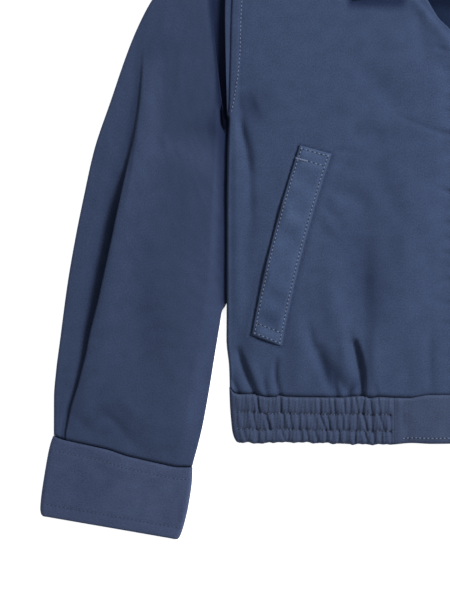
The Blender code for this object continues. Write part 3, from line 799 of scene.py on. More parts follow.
# painted light and shade: darker in the front's hollows (above 0), lighter on its lit swells and edges
# (below 0)
FRONT_PAINTED_SHADING = painted_shading_rows(
    (149.8, 68.6, 138.6, 71.4, 15.4, 0.16), (156.8, 56, 157.5, -1.4, 6.3, -0.08),
    (151.9, 15.4, 151.9, -61.6, 9.8, 0.07), (75.6, -16.8, 68.6, -79.8, 18.2, 0.17),
    (60, -42, 56, -81, 14, 0.08), (92.4, -112, 88.2, -128.8, 9.1, 0.26), (84, -114, 74, -126, 7, 0.14),
    (96, -108, 87, -134, 13, 0.2, 0.25), (76, -131, 69, -125, 6, 0.35), (152, 70, 147, 50, 10, 0.1),
    (35, 140, 29.4, 134.4, 9.8, 0.16), (28, 130.2, 16.8, 120.4, 7, -0.06),
    (75.6, 81.2, 47.6, 77, 15.4, 0.06), (72.1, 42, 36.4, 42, 11.2, 0.07),
    (105, 4.2, 99.4, -68.6, 15.4, -0.06), (85.4, 56, 50.4, 53.2, 9.8, -0.05),
    (58.8, -21, 53.2, -46.2, 11.2, -0.07), (96.6, -89.6, 86.8, -105, 8.4, -0.11),
    (52.5, 106.4, 21, 64.4, 42, -0.05), (91, 98, 28, 64.4, 18.2, 0.05), (151.2, 77, 138.6, 54.6, 14, 0.12),
    (156.8, 50.4, 158.2, 32.2, 8.4, -0.1), (147, 49, 145.6, 23.8, 5.6, 0.22),
    (61.6, -42, 58.8, -84, 16.8, 0.1), (70, 43.4, 42, 1.4, 35, 0.04), (99.4, -1.4, 96.6, -49, 12.6, -0.06),
    (150.5, 99.4, 149.1, 81.2, 11.2, 0.05), (22.4, 110.6, 11.2, 107.8, 5.6, 0.1),
    (101.5, -26, 92.2, -26, 5.2, -0.1), (100.3, -32.4, 93.3, -32.4, 4.1, 0.1),
    (106.2, -40.6, 96.8, -40.6, 5.8, -0.08), (107.3, -48.2, 99.2, -48.2, 4.1, 0.12),
    (109.7, -54.6, 100.3, -54.6, 8.2, -0.08), (153, 57, 136, 53, 10, 0.07), (76, 4, 72, -72, 20, 0.03),
    (15, 109, 9, 90, 9, 0.1),
)
# painted light and shade over the welt: lighter at its lit ends and patches, darker in its lower hollows
WELT_PAINTED_SHADING = painted_shading_rows(
    (135.8, -65.8, 120.4, -68.6, 23.8, 0.1), (138.6, -81.2, 123.2, -85.4, 11.2, 0.08),
    (128.8, -30.8, 112, -33.6, 15.4, 0.05), (110.8, 37, 89.8, 32.3, 6.4, -0.22),
    (112, 26.8, 94.5, 25.7, 4.2, -0.16), (112, 20.3, 94.5, 21.7, 4.7, 0.08),
    (116.7, 12.5, 109.7, 11.9, 7, -0.08), (122.5, -10.8, 102.7, -11.4, 11.1, -0.18),
    (121.3, -20.8, 107.3, -21.9, 7, 0.08), (107.3, -27.8, 116.7, -67.4, 4.7, -0.1),
    (127.2, -38.3, 112, -39.4, 7, -0.06), (135.3, -52.3, 120.2, -55.8, 14, 0.08),
    (136.5, -63.9, 121.3, -65.1, 7, 0.1), (140, -79.1, 123.7, -82.6, 12.8, 0.24),
    (144.7, -89, 124.8, -94.8, 8.2, -0.18),
)

# short drag lines that run in from the zip's stitching: y, reach, drop and depth
ZIP_PUCKERS: Rows = (
    (101.5, 12, -3, 0.7), (91, 13, 2, 1), (81, 9, -2, 0.5), (71.4, 15, 3, 1.2), (62.3, 10, 2, 0.9),
    (46.6, 16, 4, 1.6), (33, 9, -1, 0.8), (22, 7, 1, 0.5), (5.6, 15, 6, 1.5), (-6, 8, 1, 0.5),
    (-16, 13, 2, 1), (-26.6, 10, 1, 0.9), (-37, 12, 2, 1), (-46, 8, 0, 0.5), (-54.6, 12, -2, 1),
    (-72, 14, 3, 1.1), (-86, 12, 1, 0.9), (-97, 8, -1, 0.5), (-108, 12, -2, 0.8), (-121, 9, 2, 0.6),
)


@dataclass(frozen=True)
class WeltPlan:
    """Plan of the slanted pocket welt: opening edge towards the side, fixed edge towards the centre."""

    upper_open: Point = (112.4, 39.9)
    upper_fixed: Point = (89.8, 33.6)
    lower_open: Point = (146.0, -93.1)
    lower_fixed: Point = (124.8, -101.4)
    bow: float = 2.6

    def point(self, across: Array, along: Array) -> Pair:
        """Plan of a place on the welt.

        Args:
            across: 0 at the opening edge, 1 at the fixed edge.
            along: 0 at the upper end, 1 at the lower end.

        Returns:
            Out and y of the place.
        """
        across, along = np.broadcast_arrays(across, along)
        arch = self.bow * 4.0 * along * (1.0 - along)
        made = []
        for axis in (0, 1):
            upper = mix(self.upper_open[axis], self.upper_fixed[axis], across)
            made.append(mix(upper, mix(self.lower_open[axis], self.lower_fixed[axis], across), along))
        return made[0] + arch, made[1]

    def outline_nearness(self, out: Array, y: Array) -> Array:
        """How near a place lies to the welt's outline, where the front gets the painted shadow of the welt's
        edge.

        Args:
            out: Distance from the centre front.
            y: Height in the plan.

        Returns:
            At most 0.6 on the outline, 0 away from it.
        """
        opening = 0.6 * bump(self.line_distance(out, y, -0.015), 1.4)
        near = np.maximum(opening, 0.4 * bump(self.line_distance(out, y, 1.04), 1.7))
        for along in (-0.004, 1.004):
            ends = (self.point(across, along) for across in (0.0, 1.0))
            near = np.maximum(near, 0.55 * bump(segment_distance(out, y, *ends), 1.6))
        return near

    def line_distance(self, out: Array, y: Array, across: float) -> Array:
        """Distance from plan points to a line along the welt."""
        samples = [self.point(across, share) for share in shares(9)]
        return np.min([segment_distance(out, y, *pair) for pair in zip(samples[:-1], samples[1:])], axis=0)


WELT = WeltPlan()


@dataclass(frozen=True)
class FrontRelief:
    """Heights of a front's outer face."""

    side: Side
    lay: float = 5.6
    centre: float = 4.3
    neck: float = 6.6
    blouse: float = 2.2
    blouse_y: float = -104.0
    side_low: float = 1.9
    side_roll: float = 2.0
    left_shift: float = 4.0
    left_depth: float = 0.85
    left_rise: float = 3.0
    blouse_spread: float = 34.0
    swells: Rows = ((0.45, 74), (0.16, 25))
    welt_calm: Point = (11.0, 9.0)
    vent_from: float = 104.0
    vent_lift: float = 0.9
    vent_drop: float = 2.4
    hem_dip: float = 1.7
    hem_dip_run: float = 2.4

    def folds(self) -> tuple[Fold, ...]:
        """This side's folds: the left ones lie a little further in and are softer.

        Returns:
            The folds.
        """
        if self.side is Side.RIGHT:
            return FRONT_FOLDS
        return tuple(
            replace(
                fold,
                out_a=fold.out_a - self.left_shift,
                y_a=fold.y_a + self.left_rise,
                out_b=fold.out_b - self.left_shift,
                bow=-fold.bow,
                height=fold.height * self.left_depth,
                lean=-fold.lean,
            )
            for fold in FRONT_FOLDS
        )

    def height(self, out: Array, y: Array) -> Array:
        """Height of the face.

        Args:
            out: Distance from the centre front.
            y: Height in the plan.

        Returns:
            Height above the surface.
        """
        vent_edge = PLAN.centre_edge + np.maximum(0.0, (y - PLAN.vent_y) * PLAN.vent_slope)
        blouse = self.blouse * np.exp(-(((y - self.blouse_y) / self.blouse_spread) ** 2))
        blouse = blouse * smooth((158.0 - out) / 14.0) * (0.3 + 0.7 * smooth((out - 40.0) / 22.0))
        closed = smooth((18.0 - out) / 13.0) * smooth((106.0 - y) / 14.0)
        opened = smooth((y - 94.0) / 12.0) * smooth((46.0 - out + (y - 106.0) * 0.5) / 30.0)
        base = self.lay + (self.centre - self.lay) * closed + (self.neck - self.lay) * opened + blouse
        relief = folds_at(self.folds(), out, y)
        calm = 1.0 - 0.75 * smooth((14.0 - out) / 8.0)
        near_welt = segment_distance(out, y, WELT.point(0.5, 0.03), WELT.point(0.5, 0.97))
        calm = calm * (0.15 + 0.85 * smooth((near_welt - self.welt_calm[0]) / self.welt_calm[1]))
        relief = relief * calm
        for (height, length), phase in zip(self.swells, (0.6 + self.side.value, 2.4)):
            relief = relief + height * ripple(out, y, length, phase)
        z = base + (relief + self.puckers(out, y) + self.seams(out, y))
        # the folded edge along the vent stands up and rolls over
        lip = out - vent_edge
        vent = smooth((y - self.vent_from) / 10.0)
        rolled = self.vent_lift * bump(lip - 4.6, 9.0) - self.vent_drop * smooth((1.8 - lip) / 1.8) ** 2
        z = z + vent * rolled
        # the side and the shoulder roll down to the back
        side_gap = PLAN.side_gap(out, y)
        shoulder_gap = segment_distance(out, y, PLAN.neck_tip, PLAN.shoulder_tip)
        gap = np.clip(np.minimum(side_gap, shoulder_gap) / self.side_roll, 0.0, 1.0)
        z = mix(self.side_low, z, np.sqrt(1.0 - (1.0 - gap) ** 2))
        # the hem dips into the band's seam
        above_hem = y - PLAN.hem_seam_y(out)
        dip = smooth((self.hem_dip_run - above_hem) / self.hem_dip_run)
        dip = dip * (0.4 + 0.6 * smooth((out - 26.0) / 14.0))
        return np.maximum(z - self.hem_dip * dip, self.side_low)

    def puckers(self, out: Array, y: Array) -> Array:
        """Drag lines along the zip and the armhole stitching.

        Args:
            out: Distance from the centre front.
            y: Height in the plan.

        Returns:
            Added height.
        """
        total = np.zeros(np.broadcast(out, y).shape)
        for start_y, reach, drop, depth in ZIP_PUCKERS:
            share = np.clip((out - PLAN.centre_edge) / reach, 0.0, 1.0)
            near, off = 1.0 - smooth(share), y - start_y - drop * share
            total = total - 0.8 * depth * near * bump(off, 4.4) + 0.4 * depth * near * bump(off - 3.6, 5.4)
        seam = PLAN.armhole_out(y) - out
        wave = np.sin(y * 0.74) + 0.6 * np.sin(y * 1.21 + 1.0)
        near = bump(seam - 8.0, 9.0) * smooth((y - 62.0) / 20.0)
        return total + 0.09 * wave * near

    def seams(self, out: Array, y: Array) -> Array:
        """The armhole's turned edge and stitching, the zip's stitching and the pocket's mouth.

        Args:
            out: Distance from the centre front.
            y: Height in the plan.

        Returns:
            Added height.
        """
        seam = PLAN.armhole_out(np.clip(y, PLAN.underarm[1], PLAN.shoulder_tip[1])) - out
        on_arm = smooth((y - 52.0) / 14.0)
        turned = 0.45 * smooth((7.2 - seam) / 1.6) - 0.35 * bump(seam - 7.0, 1.6) - 1.3 * bump(seam, 1.7)
        total = on_arm * turned
        zip_row = out - PLAN.centre_edge
        on_zip = smooth((112.0 - y) / 6.0)
        total = total - on_zip * 0.7 * smooth((0.9 - zip_row) / 0.9)
        total = total - 0.5 * bump(WELT.line_distance(out, y, -0.03), 1.8)
        total = total - 0.35 * bump(WELT.line_distance(out, y, 1.04), 1.8)
        return total


@dataclass
class FrontPanel(ClothPiece):
    """One front with everything that lies on it."""

    solid: str = "front"
    tuck_z: float = 1.9
    # painted shadow under the collar and beside the welt, and painted light at the side edge
    collar_shade: float = 0.72
    welt_shade: float = 0.8
    side_painted_light: float = 0.7
    row_count: int = 236
    plain_columns: int = 96
    edge_columns: int = 12
    edge_share: float = 0.045

    def points(self) -> Pair:
        """The panel's outer face: painted shadow under the collar and beside the welt, painted light at its
        side edge.

        Returns:
            The grid, and the shades.
        """
        rows = PLAN.spread(self.row_count)
        plain = np.linspace(0.0, 1.0 - self.edge_share, self.plain_columns, endpoint=False)
        edge = 1.0 - self.edge_share * (1.0 - shares(self.edge_columns)) ** 1.6
        out, y = between(rows.T[:, :, None], np.concatenate([plain, edge]))
        y = y + PLAN.hem_corner(out, y, 10)
        z = FrontRelief(self.side).height(out, y)
        under_y = np.stack([y[0] - 2.4, y[0] - 0.7])
        under_z = np.broadcast_to(np.array([[self.tuck_z], [self.tuck_z + 0.2]]), under_y.shape)
        out = np.concatenate([out[:2], out])
        y = np.concatenate([under_y, y])
        z = np.concatenate([np.minimum(under_z, z[0] - 0.3), z])
        # painted shadow under the collar's leaf and along the welt's outline
        under_collar = smooth((y - 131.5) / 9.0) * smooth((out - 35.0) / 7.0) * smooth((81.0 - out) / 5.0)
        shade = np.maximum(self.collar_shade * under_collar, self.welt_shade * WELT.outline_nearness(out, y))
        # painted light along the side edge, which rolls away from the light
        painted_edge_light = self.side_painted_light * smooth((52.0 - y) / 20.0) * (1.0 - smooth(PLAN.side_gap(out, y) / 4.0))
        return world(self.side, out, y, z), shade + folds_at(FRONT_PAINTED_SHADING, out, y) - painted_edge_light


@dataclass
class BackPanel(ClothPiece):
    """The back, flat under the fronts; its inside shows in the neck opening."""

    solid: str = "back_panel"
    rests_on: tuple[str, ...] = ("floor",)
    top: float = 0.75
    side_inset: float = 1.4
    # painted shade in the neck opening
    neck_shade: float = 0.63
    neck_round: float = 1.9
    neck_run: float = 8.0
    neck_lift: float = 0.5
    row_count: int = 150
    column_count: int = 61

    def points(self) -> Pair:
        """The back's inner face, with painted shade in the neck opening.

        Returns:
            The grid, and the shades.
        """
        rows = PLAN.spread(self.row_count)
        share = np.linspace(-1.0, 1.0, self.column_count)
        out = (rows[:, [2]] - self.side_inset) * share
        # rows bow from level at the hem to the back neck's curve at the top
        rise = np.clip((rows[:, 3] - 120.0) / (PLAN.shoulder_tip[1] - 120.0), 0.0, 1.0)[:, None]
        slope = (PLAN.neck_tip[1] - PLAN.shoulder_tip[1]) / (PLAN.shoulder_tip[0] - PLAN.neck_tip[0])
        shoulder = (rows[:, [2]] - np.maximum(np.abs(out), PLAN.neck_tip[0])) * slope
        across = np.cos(np.clip(out / PLAN.neck_tip[0], -1.0, 1.0) * math.pi / 2.0)
        neck_dip = (PLAN.neck_tip[1] - PLAN.back_neck_y) * across**self.neck_round
        y = rows[:, [3]] + rise * (shoulder - neck_dip)
        y = y + PLAN.hem_corner(np.abs(out), y, 14)
        swell = 0.25 * (1.0 + ripple(out, y, 60.0, 3.0))
        z = self.top + swell * smooth((150.0 - np.abs(out)) / 30.0) * smooth((210.0 - y) / 30.0)
        # the neck edge rises to the collar's seam
        near_neck = smooth((y - y[-1] + self.neck_run) / self.neck_run)
        near_neck = near_neck * smooth((PLAN.neck_tip[0] - np.abs(out)) / 5.0)
        z = z + near_neck * (self.neck_lift + 2.0 * (np.abs(out) / 62.0) ** 2.4)
        return world(Side.LEFT, out, y, z), self.neck_shade * smooth((y - 132.0) / 8.0)


# ---- sleeves and cuffs

SLEEVE_FOLDS = fold_rows(
    (214, 104, 240, -10, -3, 16, 1.3), (236, -10, 262, -150, -3, 15, 1),
    (223.6, 98, 233, 28, -1.6, 9, -1.9, 0.7, 0.5), (205, 104, 210, 50, 3, 16, -0.9),
    (164, 46, 208, 40, 2, 20, -3), (168, 24, 206, 20, 2, 24, 1.4), (206, 14, 214, -50, 3, 26, -0.7),
    (224, -44, 220, -122, 2, 22, -1.3), (190, -30, 196, -150, 2, 24, 0.8),
    (272, -148, 256, -166, -1, 8, -1.2, 0.2), (252, -146, 228, -172, -1.6, 9, -1.7, 0.2),
    (238, -136, 222, -156, 0, 10, 0.7), (238, -170, 222, -172, 1, 5, -0.7),
    (206, -140, 200, -178, 0, 14, -0.5), (208, 160, 196, 120, 0, 20, -0.7), (268, 0, 279, -100, 0, 7, 0.4),
)
# painted light and shade over the sleeves: darker in hollows, lighter on lit ridges
SLEEVE_PAINTED_SHADING = painted_shading_rows(
    (224, 92.4, 235.2, 29.4, 6.3, 0.14), (168.7, 11.2, 169.4, -71.4, 5.6, 0.28),
    (212.8, 116.2, 205.8, 99.4, 16.8, 0.07), (220.5, 96.6, 221.2, 82.6, 5.6, -0.11),
    (240.8, 74.2, 246.4, 43.4, 9.8, -0.08), (215.6, 1.4, 211.4, -35, 14, -0.08),
    (250.6, -155.4, 240.8, -161, 8.4, 0.14), (235.2, -169.4, 225.4, -172.2, 7, -0.11),
    (214.4, 90.6, 218.8, -5.6, 15.7, -0.14), (210, 123.9, 206.5, 101.1, 21, 0.11),
    (189, 88.9, 182, 50.4, 35, 0.07), (182, 55.6, 168, 46.9, 15.7, 0.14),
    (199.5, 32.9, 168, 25.9, 19.2, -0.11), (196, 15.4, 185.5, -33.6, 22.8, 0.07),
    (224, 95.5, 232.4, 32.9, 5.2, 0.22), (218.8, 1.4, 217, -117.6, 22.8, 0.11),
    (190.8, -124.6, 196, -166.6, 19.2, -0.14), (255.5, -131.6, 248.5, -156.1, 26.2, 0.08),
)
# how far the cuff's seam lies below a straight line, by shares of the sleeve's width
CUFF_SEAM_BOW: Rows = (
    (0, 0), (0.08, -1.3), (0.38, -1.4), (0.54, -3.1), (0.85, -3.4), (1, -1),
)


def cuff_seam_bow(share: Array) -> Array:
    """How far the cuff's seam lies below a straight line, along the sleeve's width."""
    return read_rows(CUFF_SEAM_BOW, np.clip(share, 0.0, 1.0))


def round_edge(radius: float) -> Pair:
    """Half a circle round the edge of a flattened tube: distance inwards from the edge, and height."""
    angles = np.radians(np.linspace(-90.0, 90.0, 9))
    return radius * (1.0 - np.cos(angles)), radius * (1.0 + np.sin(angles))


@dataclass
class Sleeve(ClothPiece):
    """A sleeve laid flat: a tube with the tuck beside the armhole and the long pleat into the cuff.

    Each ring of the table runs from the sleeve's upper edge over the top to its under edge. The tuck's rows
    give its fold: how far along the cloth, how far from the armhole towards the nose, and how high.
    """

    solid: str = "sleeve"
    rests_on: tuple[str, ...] = ("floor",)
    closed: bool = True
    edge_radius: float = 2.8
    ring_count: int = 200
    tuck_rings: int = 44
    strip_columns: int = 18
    main_columns: int = 62
    under_columns: int = 16
    rings: Rows = (
        (150.6, 203.4, 162.9, 58.4), (176, 188.6, 163.4, 45), (193, 171, 164.6, 33),
        (215.8, 141.4, 165, 18), (226.6, 120.4, 165.1, 8), (233.6, 102.9, 165.2, 0),
        (244.4, 71.4, 165.2, -18), (256.2, 36.4, 165.1, -38), (264, 1.4, 165, -56),
        (268.7, -21.7, 165.4, -66), (274.8, -56.7, 167.6, -82), (280.2, -97.3, 172.1, -110),
        (282.9, -118.3, 175.8, -133), (284.4, -137.2, 180.5, -158), (284.5, -163, 187.4, -184),
    )
    pleat: Rows = (
        (94.5, 223.2), (64.4, 226.2), (24.5, 233.6), (1.4, 238), (-26.6, 243.6), (-68.6, 252.7),
        (-90.3, 258.3), (-108.5, 261.8), (-129.5, 267.4), (-144.2, 272.3), (-165.9, 277.2), (-178, 280),
    )
    tuck: Rows = (
        (0, -0.08, 4), (0.08, 0.03, 5.6), (0.16, 0.13, 6.7), (0.26, 0.25, 7.6), (0.34, 0.33, 7.8),
        (0.38, 0.36, 6.6), (0.5, 0.35, 2.6), (0.56, 0.42, 1.5), (0.7, 1, 1.45), (0.76, 1.26, 1.6),
        (0.8, 1.33, 2.6), (0.84, 1.26, 4), (0.9, 1.06, 7.2), (0.94, 0.985, 9.6), (0.97, 0.97, 10.9),
        (1, 1, 11.6),
    )
    nose_bow: float = 2.4
    nose_rise: float = 6.4
    low_rise: float = 4.0
    settle_length: float = 60.0
    pleat_root: float = 2.6
    pleat_step: float = 2.4
    pleat_slope: float = 12.0
    # painted shade in the pleat
    pleat_shade: float = 0.42
    pleat_shade_width: float = 18.0
    pleat_under: float = 5.0
    pleat_lift: float = 3.4
    gap_closed_y: float = -68.0
    gap_open_y: float = -78.0
    beside_roll: float = 9.0
    # painted shade beside the body
    beside_shade: float = 7.0
    beside_z: float = 1.7
    # painted shade on the strip, by the tuck's nose and in its hidden rows; painted light along the outer
    # edges
    strip_shade: float = 0.2
    nose_shade: float = 0.8
    nose_fade: float = 6.0
    nose_spread: float = 4.5
    hidden_shade: float = 0.7
    outer_edge_painted_light: float = 0.6
    cuff_settle: float = 28.0
    cuff_top: float = 5.8

    def ring_rows(self) -> Pair:
        """The rings' ends, close together where the tuck needs it.

        Returns:
            An array of rings and their distance past the tuck's nose, negative within the tuck.
        """
        table = np.array(self.rings)
        knots = row_places(table)
        knots = knots - knots[1]
        within = np.linspace(knots[0], 0.0, self.tuck_rings, endpoint=False)
        rest = np.linspace(0.0, knots[-1], self.ring_count - self.tuck_rings)
        places = np.concatenate([within, rest])
        return eased(places, knots, table), places

    def pleat_place(self, ring: Array) -> Point:
        """Where a ring crosses the long pleat.

        Args:
            ring: The ring's two ends.

        Returns:
            The crossing's share of the ring and its y.
        """
        share = np.linspace(0.0, 0.75, 160)
        out, y = between(ring, share)
        line = np.array(self.pleat)[::-1]
        gap = out - np.interp(y, line[:, 0], line[:, 1])
        crossing = float(np.interp(0.0, -gap, share))
        return crossing, float(between(ring, crossing)[1])

    def section(self, ring: Array, past: float) -> tuple[Array, Array, Array, Array]:
        """Cross-section of one ring, from its upper edge over the top to the under edge and back below.

        Args:
            ring: The ring's two ends.
            past: The ring's distance past the tuck's nose.

        Returns:
            Distance along the ring, height, a mask of the upper layer, and its painted shade in the pleat.
        """
        width = row_width(ring)
        radius = self.edge_radius
        edge_x, edge_z = round_edge(radius)
        crossing, y = self.pleat_place(ring)
        at = min(max(crossing * width, radius + 6.0), width - 30.0)
        opened = float(smooth((66.0 - y) / 84.0) * (1.0 - 0.3 * smooth((-136.0 - y) / 40.0)))
        under = self.pleat_under * opened
        top = 2.0 * radius
        sunk = float(smooth((y + 168.0) / 130.0))
        low = 0.2 + 0.8 * sunk
        crest = float(self.crown(at, width, past)) + self.pleat_lift * opened * (0.3 + 0.7 * sunk)
        root = crest - self.pleat_step + (self.pleat_root - crest + self.pleat_step) * sunk
        plain = np.linspace(-3.2, 3.2, 13)
        slide = np.array([-3.2, -1.4, 0.2, 0.6 * under, 0.95 * under, under, 0.9 * under, 0.5 * under])
        slide = np.concatenate([slide, [0.4, -0.4, -0.35, 0.8, 3.2]])
        level = root + low * np.array([0.5, 0.0, 0.0, 0.0, 0.3, 0.9, 1.5, 2.0])
        level = np.concatenate([level, [crest - 2.2, crest - 1.1, crest - 0.45, crest, crest + 0.1]])
        pleat_x = at + (1.0 - opened) * plain + opened * slide
        pleat_z = (1.0 - opened) * self.crown(at + plain, width, past) + opened * level
        strip_x = np.linspace(radius, at - 3.2, self.strip_columns + 1)[1:-1]
        strip_plain = self.crown(strip_x, width, past)
        fall = 2.4 + self.pleat_slope * sunk
        slope = smooth((strip_x - (at - 3.2 - fall)) / fall)
        strip_z = mix(strip_plain, mix(top, root + 0.5 * low, slope), opened)
        main_x = np.linspace(at + 3.2, width - radius, self.main_columns + 1)[1:-1]
        boost = (self.pleat_lift * (0.3 + 0.7 * sunk) + 0.1) * opened * np.exp(-(main_x - at - 3.2) / 18.0)
        main_z = self.crown(main_x, width, past) + boost * smooth((width - main_x) / 16.0)
        below_x = np.linspace(width - radius, radius, self.under_columns + 2)[1:-1]
        square = np.where(edge_z[::-1] < radius, 1.0 - min(1.0, self.skirt(ring)), 1.0)
        end_x = width - edge_x[::-1] * square
        x = np.concatenate([edge_x, strip_x, pleat_x, main_x, end_x, below_x])
        z = np.concatenate([edge_z, strip_z, pleat_z, main_z, edge_z[::-1], 0.0 * below_x])
        upper = np.zeros(len(x), bool)
        upper[len(edge_x) : len(x) - len(edge_x) - len(below_x)] = True
        first = len(edge_x) + len(strip_x)
        # painted shade in the pleat, deepest under the fold's edge
        hidden = np.zeros(len(x))
        hidden[:first] = 1.0 - smooth((at - x[:first]) / (0.8 + self.pleat_shade_width * sunk))
        hidden[first : first + 9] = 1.0
        shade = self.pleat_shade * opened * (0.35 + 0.65 * sunk) * hidden
        return x, z, upper, shade

    def crown(self, x: Array | float, width: float, past: float) -> Array | float:
        """Height of the upper layer without its pleat: highest near the tuck and towards the under edge.

        Args:
            x: Distance along the ring.
            width: The ring's length.
            past: The ring's distance past the tuck's nose.

        Returns:
            Heights.
        """
        rise = mix(self.low_rise, self.nose_rise, math.exp(-max(past, 0.0) / self.settle_length))
        lean = 0.35 + 0.65 * smooth((np.asarray(x) - 0.1 * width) / (0.75 * width))
        return 2.0 * self.edge_radius + rise * lean * smooth(x / 22.0) * smooth((width - x) / 14.0)

    def gap_closed(self, y: Array | float) -> Array:
        """How closed the gap between body and sleeve is at a height: 0 below, where it opens, to 1."""
        return smooth((y - self.gap_open_y) / (self.gap_closed_y - self.gap_open_y))

    def skirt(self, ring: Array) -> float:
        """How far the under layer reaches past the upper one, so that it lies against the body's side."""
        reach = float(ring[2] - PLAN.side_out(ring[3])[0]) + 0.7
        return max(0.0, reach) * float(self.gap_closed(ring[3]))

    def points(self) -> Pair:
        """The sleeve's outer face, with painted shade in its tuck and pleat and beside the body.

        Returns:
            The grid, and the shades.
        """
        rings, places = self.ring_rows()
        length = places[-1]
        grid, depth = [], []
        for ring, past in zip(rings, places):
            x, z, upper, pleated = self.section(ring, past)
            width = row_width(ring)
            share = x / width
            out, y = self.plan(ring, share, past)
            y = y + cuff_seam_bow(share) * smooth((past - length + 42.0) / 42.0)
            apron = np.zeros_like(x)
            under_edge = slice(len(x) - self.under_columns - 9, len(x) - self.under_columns)
            apron[under_edge] = (1.0 - z[under_edge] / (2.0 * self.edge_radius)) ** 0.8
            out = out - self.skirt(ring) * apron
            calm = smooth(np.minimum(x, width - x) / 10.0) * smooth((past + 2.0) / 12.0)
            folds = folds_at(SLEEVE_FOLDS, out, y) + 0.35 * ripple(out, y, 62.0, 1.9 + self.side.value)
            z = z + np.where(upper, calm * folds, 0.0)
            hug = self.gap_closed(y) * smooth((70.0 - y) / 8.0)
            beside = smooth((out - PLAN.side_out(y)) / self.beside_roll) ** 0.8
            z = mix(z, np.minimum(z, mix(self.beside_z, z, beside)), hug)
            # painted shade beside the body, where the sleeve lies against it
            reach = self.beside_shade * (1.0 + 1.3 * smooth((y + 5.0) / 50.0))
            shade = np.maximum(pleated, 0.75 * hug * (1.0 - smooth((out - PLAN.side_out(y)) / reach)))
            settled = float(smooth((past - length + self.cuff_settle) / self.cuff_settle))
            z = mix(z, np.minimum(z, mix(self.cuff_top, z, 0.25)), settled)
            end = float(smooth((past - length + 1.6) / 1.6))
            z = mix(z, np.minimum(z, 0.9 * z + 0.1), end)
            if past < 0.0:
                step = 1.0 + past / -places[0]
                out, y, z, reach = self.tucked(rings, share, step, out, y, z, upper)
                # painted shade in the tuck's hidden rows and on the strip
                hidden = smooth((step - 0.37) / 0.04) * (1.0 - smooth((step - 0.93) / 0.07))
                hidden = max(self.hidden_shade * float(hidden), self.strip_shade)
                shade = np.maximum(shade, reach * hidden)
            # painted shade by the tuck's nose, spreading towards the underarm
            near_under = smooth((share - 0.6) / 0.3)
            near_nose = 1.0 - smooth(abs(past) / (self.nose_fade * (1.0 + self.nose_spread * near_under)))
            near_nose = near_nose * self.nose_shade * smooth(share / 0.06)
            facing_up = np.arange(len(x)) < len(x) - self.under_columns
            shade = np.where(facing_up, np.maximum(shade, near_nose), shade)
            grid.append(world(self.side, out, y, z))
            # painted light and shade, with painted light along the outer edges, which roll away from the
            # light
            painted_shading = folds_at(SLEEVE_PAINTED_SHADING, out, y) - self.outer_edge_painted_light * (1.0 - smooth(x / 4.0))
            depth.append(shade + np.where(facing_up, painted_shading, 0.0))
        seam, inner = grid[-1], grid[-1].copy()
        centre = 0.5 * (seam.max(axis=0) + seam.min(axis=0))
        inner[:, 2] = mix(centre[2], seam[:, 2], 0.62)
        inner[:, :2] += (centre[:2] - seam[:, :2]) * 0.005
        beyond = inner.copy()
        beyond[:, 1] -= 2.2 * MM
        return np.array(grid + [inner, beyond]), np.array(depth + [depth[-1], depth[-1]])

    def plan(self, ring: Array, share: Array, past: float) -> Pair:
        """Plan of a ring: straight, but bowed like the armhole's seam and the tuck's nose near them.

        Args:
            ring: The ring's two ends.
            share: Shares of the ring.
            past: The ring's distance past the tuck's nose.

        Returns:
            Out and y at each share.
        """
        out, y = between(ring, share)
        line_out, line_y = between(np.array(self.rings[0]), share)
        seam_bow = PLAN.armhole_out(line_y) - line_out
        nose_bow = self.nose_bow * np.sin(math.pi * np.clip(share, 0.0, 1.0))
        if past < 0.0:
            near = -past / 12.0
            return out + seam_bow * near + nose_bow * (1.0 - near), y
        return out + nose_bow * math.exp(-past / 30.0), y

    def tucked(
        self, rings: Array, share: Array, step: float, out: Array, y: Array, z: Array, upper: Array
    ) -> tuple[Array, Array, Array, Array]:
        """Fold the upper layer under itself beside the armhole.

        Args:
            rings: Ends of all rings.
            share: Shares of the ring.
            step: 0 at the armhole, 1 at the nose.
            out: Plan of the unfolded ring.
            y: Plan of the unfolded ring.
            z: Heights of the unfolded ring.
            upper: Mask of the upper layer.

        Returns:
            The folded plan and heights, and where they reach.
        """
        table = np.array(self.tuck)
        slide, level = eased(np.array([step]), table[:, 0], table[:, 1:3])[0]
        floor_z, nose_z = table[:, 2].min(), table[-1, 2]
        width = row_width(rings[self.tuck_rings])
        crown = self.crown(share * width, width, 0.0)
        level = floor_z + (level - floor_z) * (crown - floor_z) / (nose_z - floor_z)
        seam_out, seam_y = self.plan(rings[0], share, -12.0)
        nose_out, nose_y = self.plan(rings[self.tuck_rings], share, 0.0)
        reach = smooth((share - 0.05) / 0.1) * smooth((0.99 - share) / 0.05) * upper
        out = mix(out, mix(seam_out, nose_out, slide), reach)
        return out, mix(y, mix(seam_y, nose_y, slide), reach), mix(z, level, reach), reach


CUFF_FOLDS = fold_rows(
    (252, -178, 240, -214, 0, 30, 0.5), (224, -186, 218, -222, 0, 24, -0.5),
    (262, -184, 214, -198, 2, 9, -0.35),
)
# painted light and shade over the cuffs: lighter on lit parts, darker in hollows
CUFF_PAINTED_SHADING = painted_shading_rows(
    (271.6, -187.6, 252, -208.6, 42, 0.1), (194.6, -206, 196, -230, 4, 0.16),
    (217, -184.1, 211.8, -229.6, 45.5, -0.1), (246.7, -184.1, 243.2, -201.6, 10.5, 0.12),
    (234.5, -182.3, 196, -189.3, 7, -0.18),
)


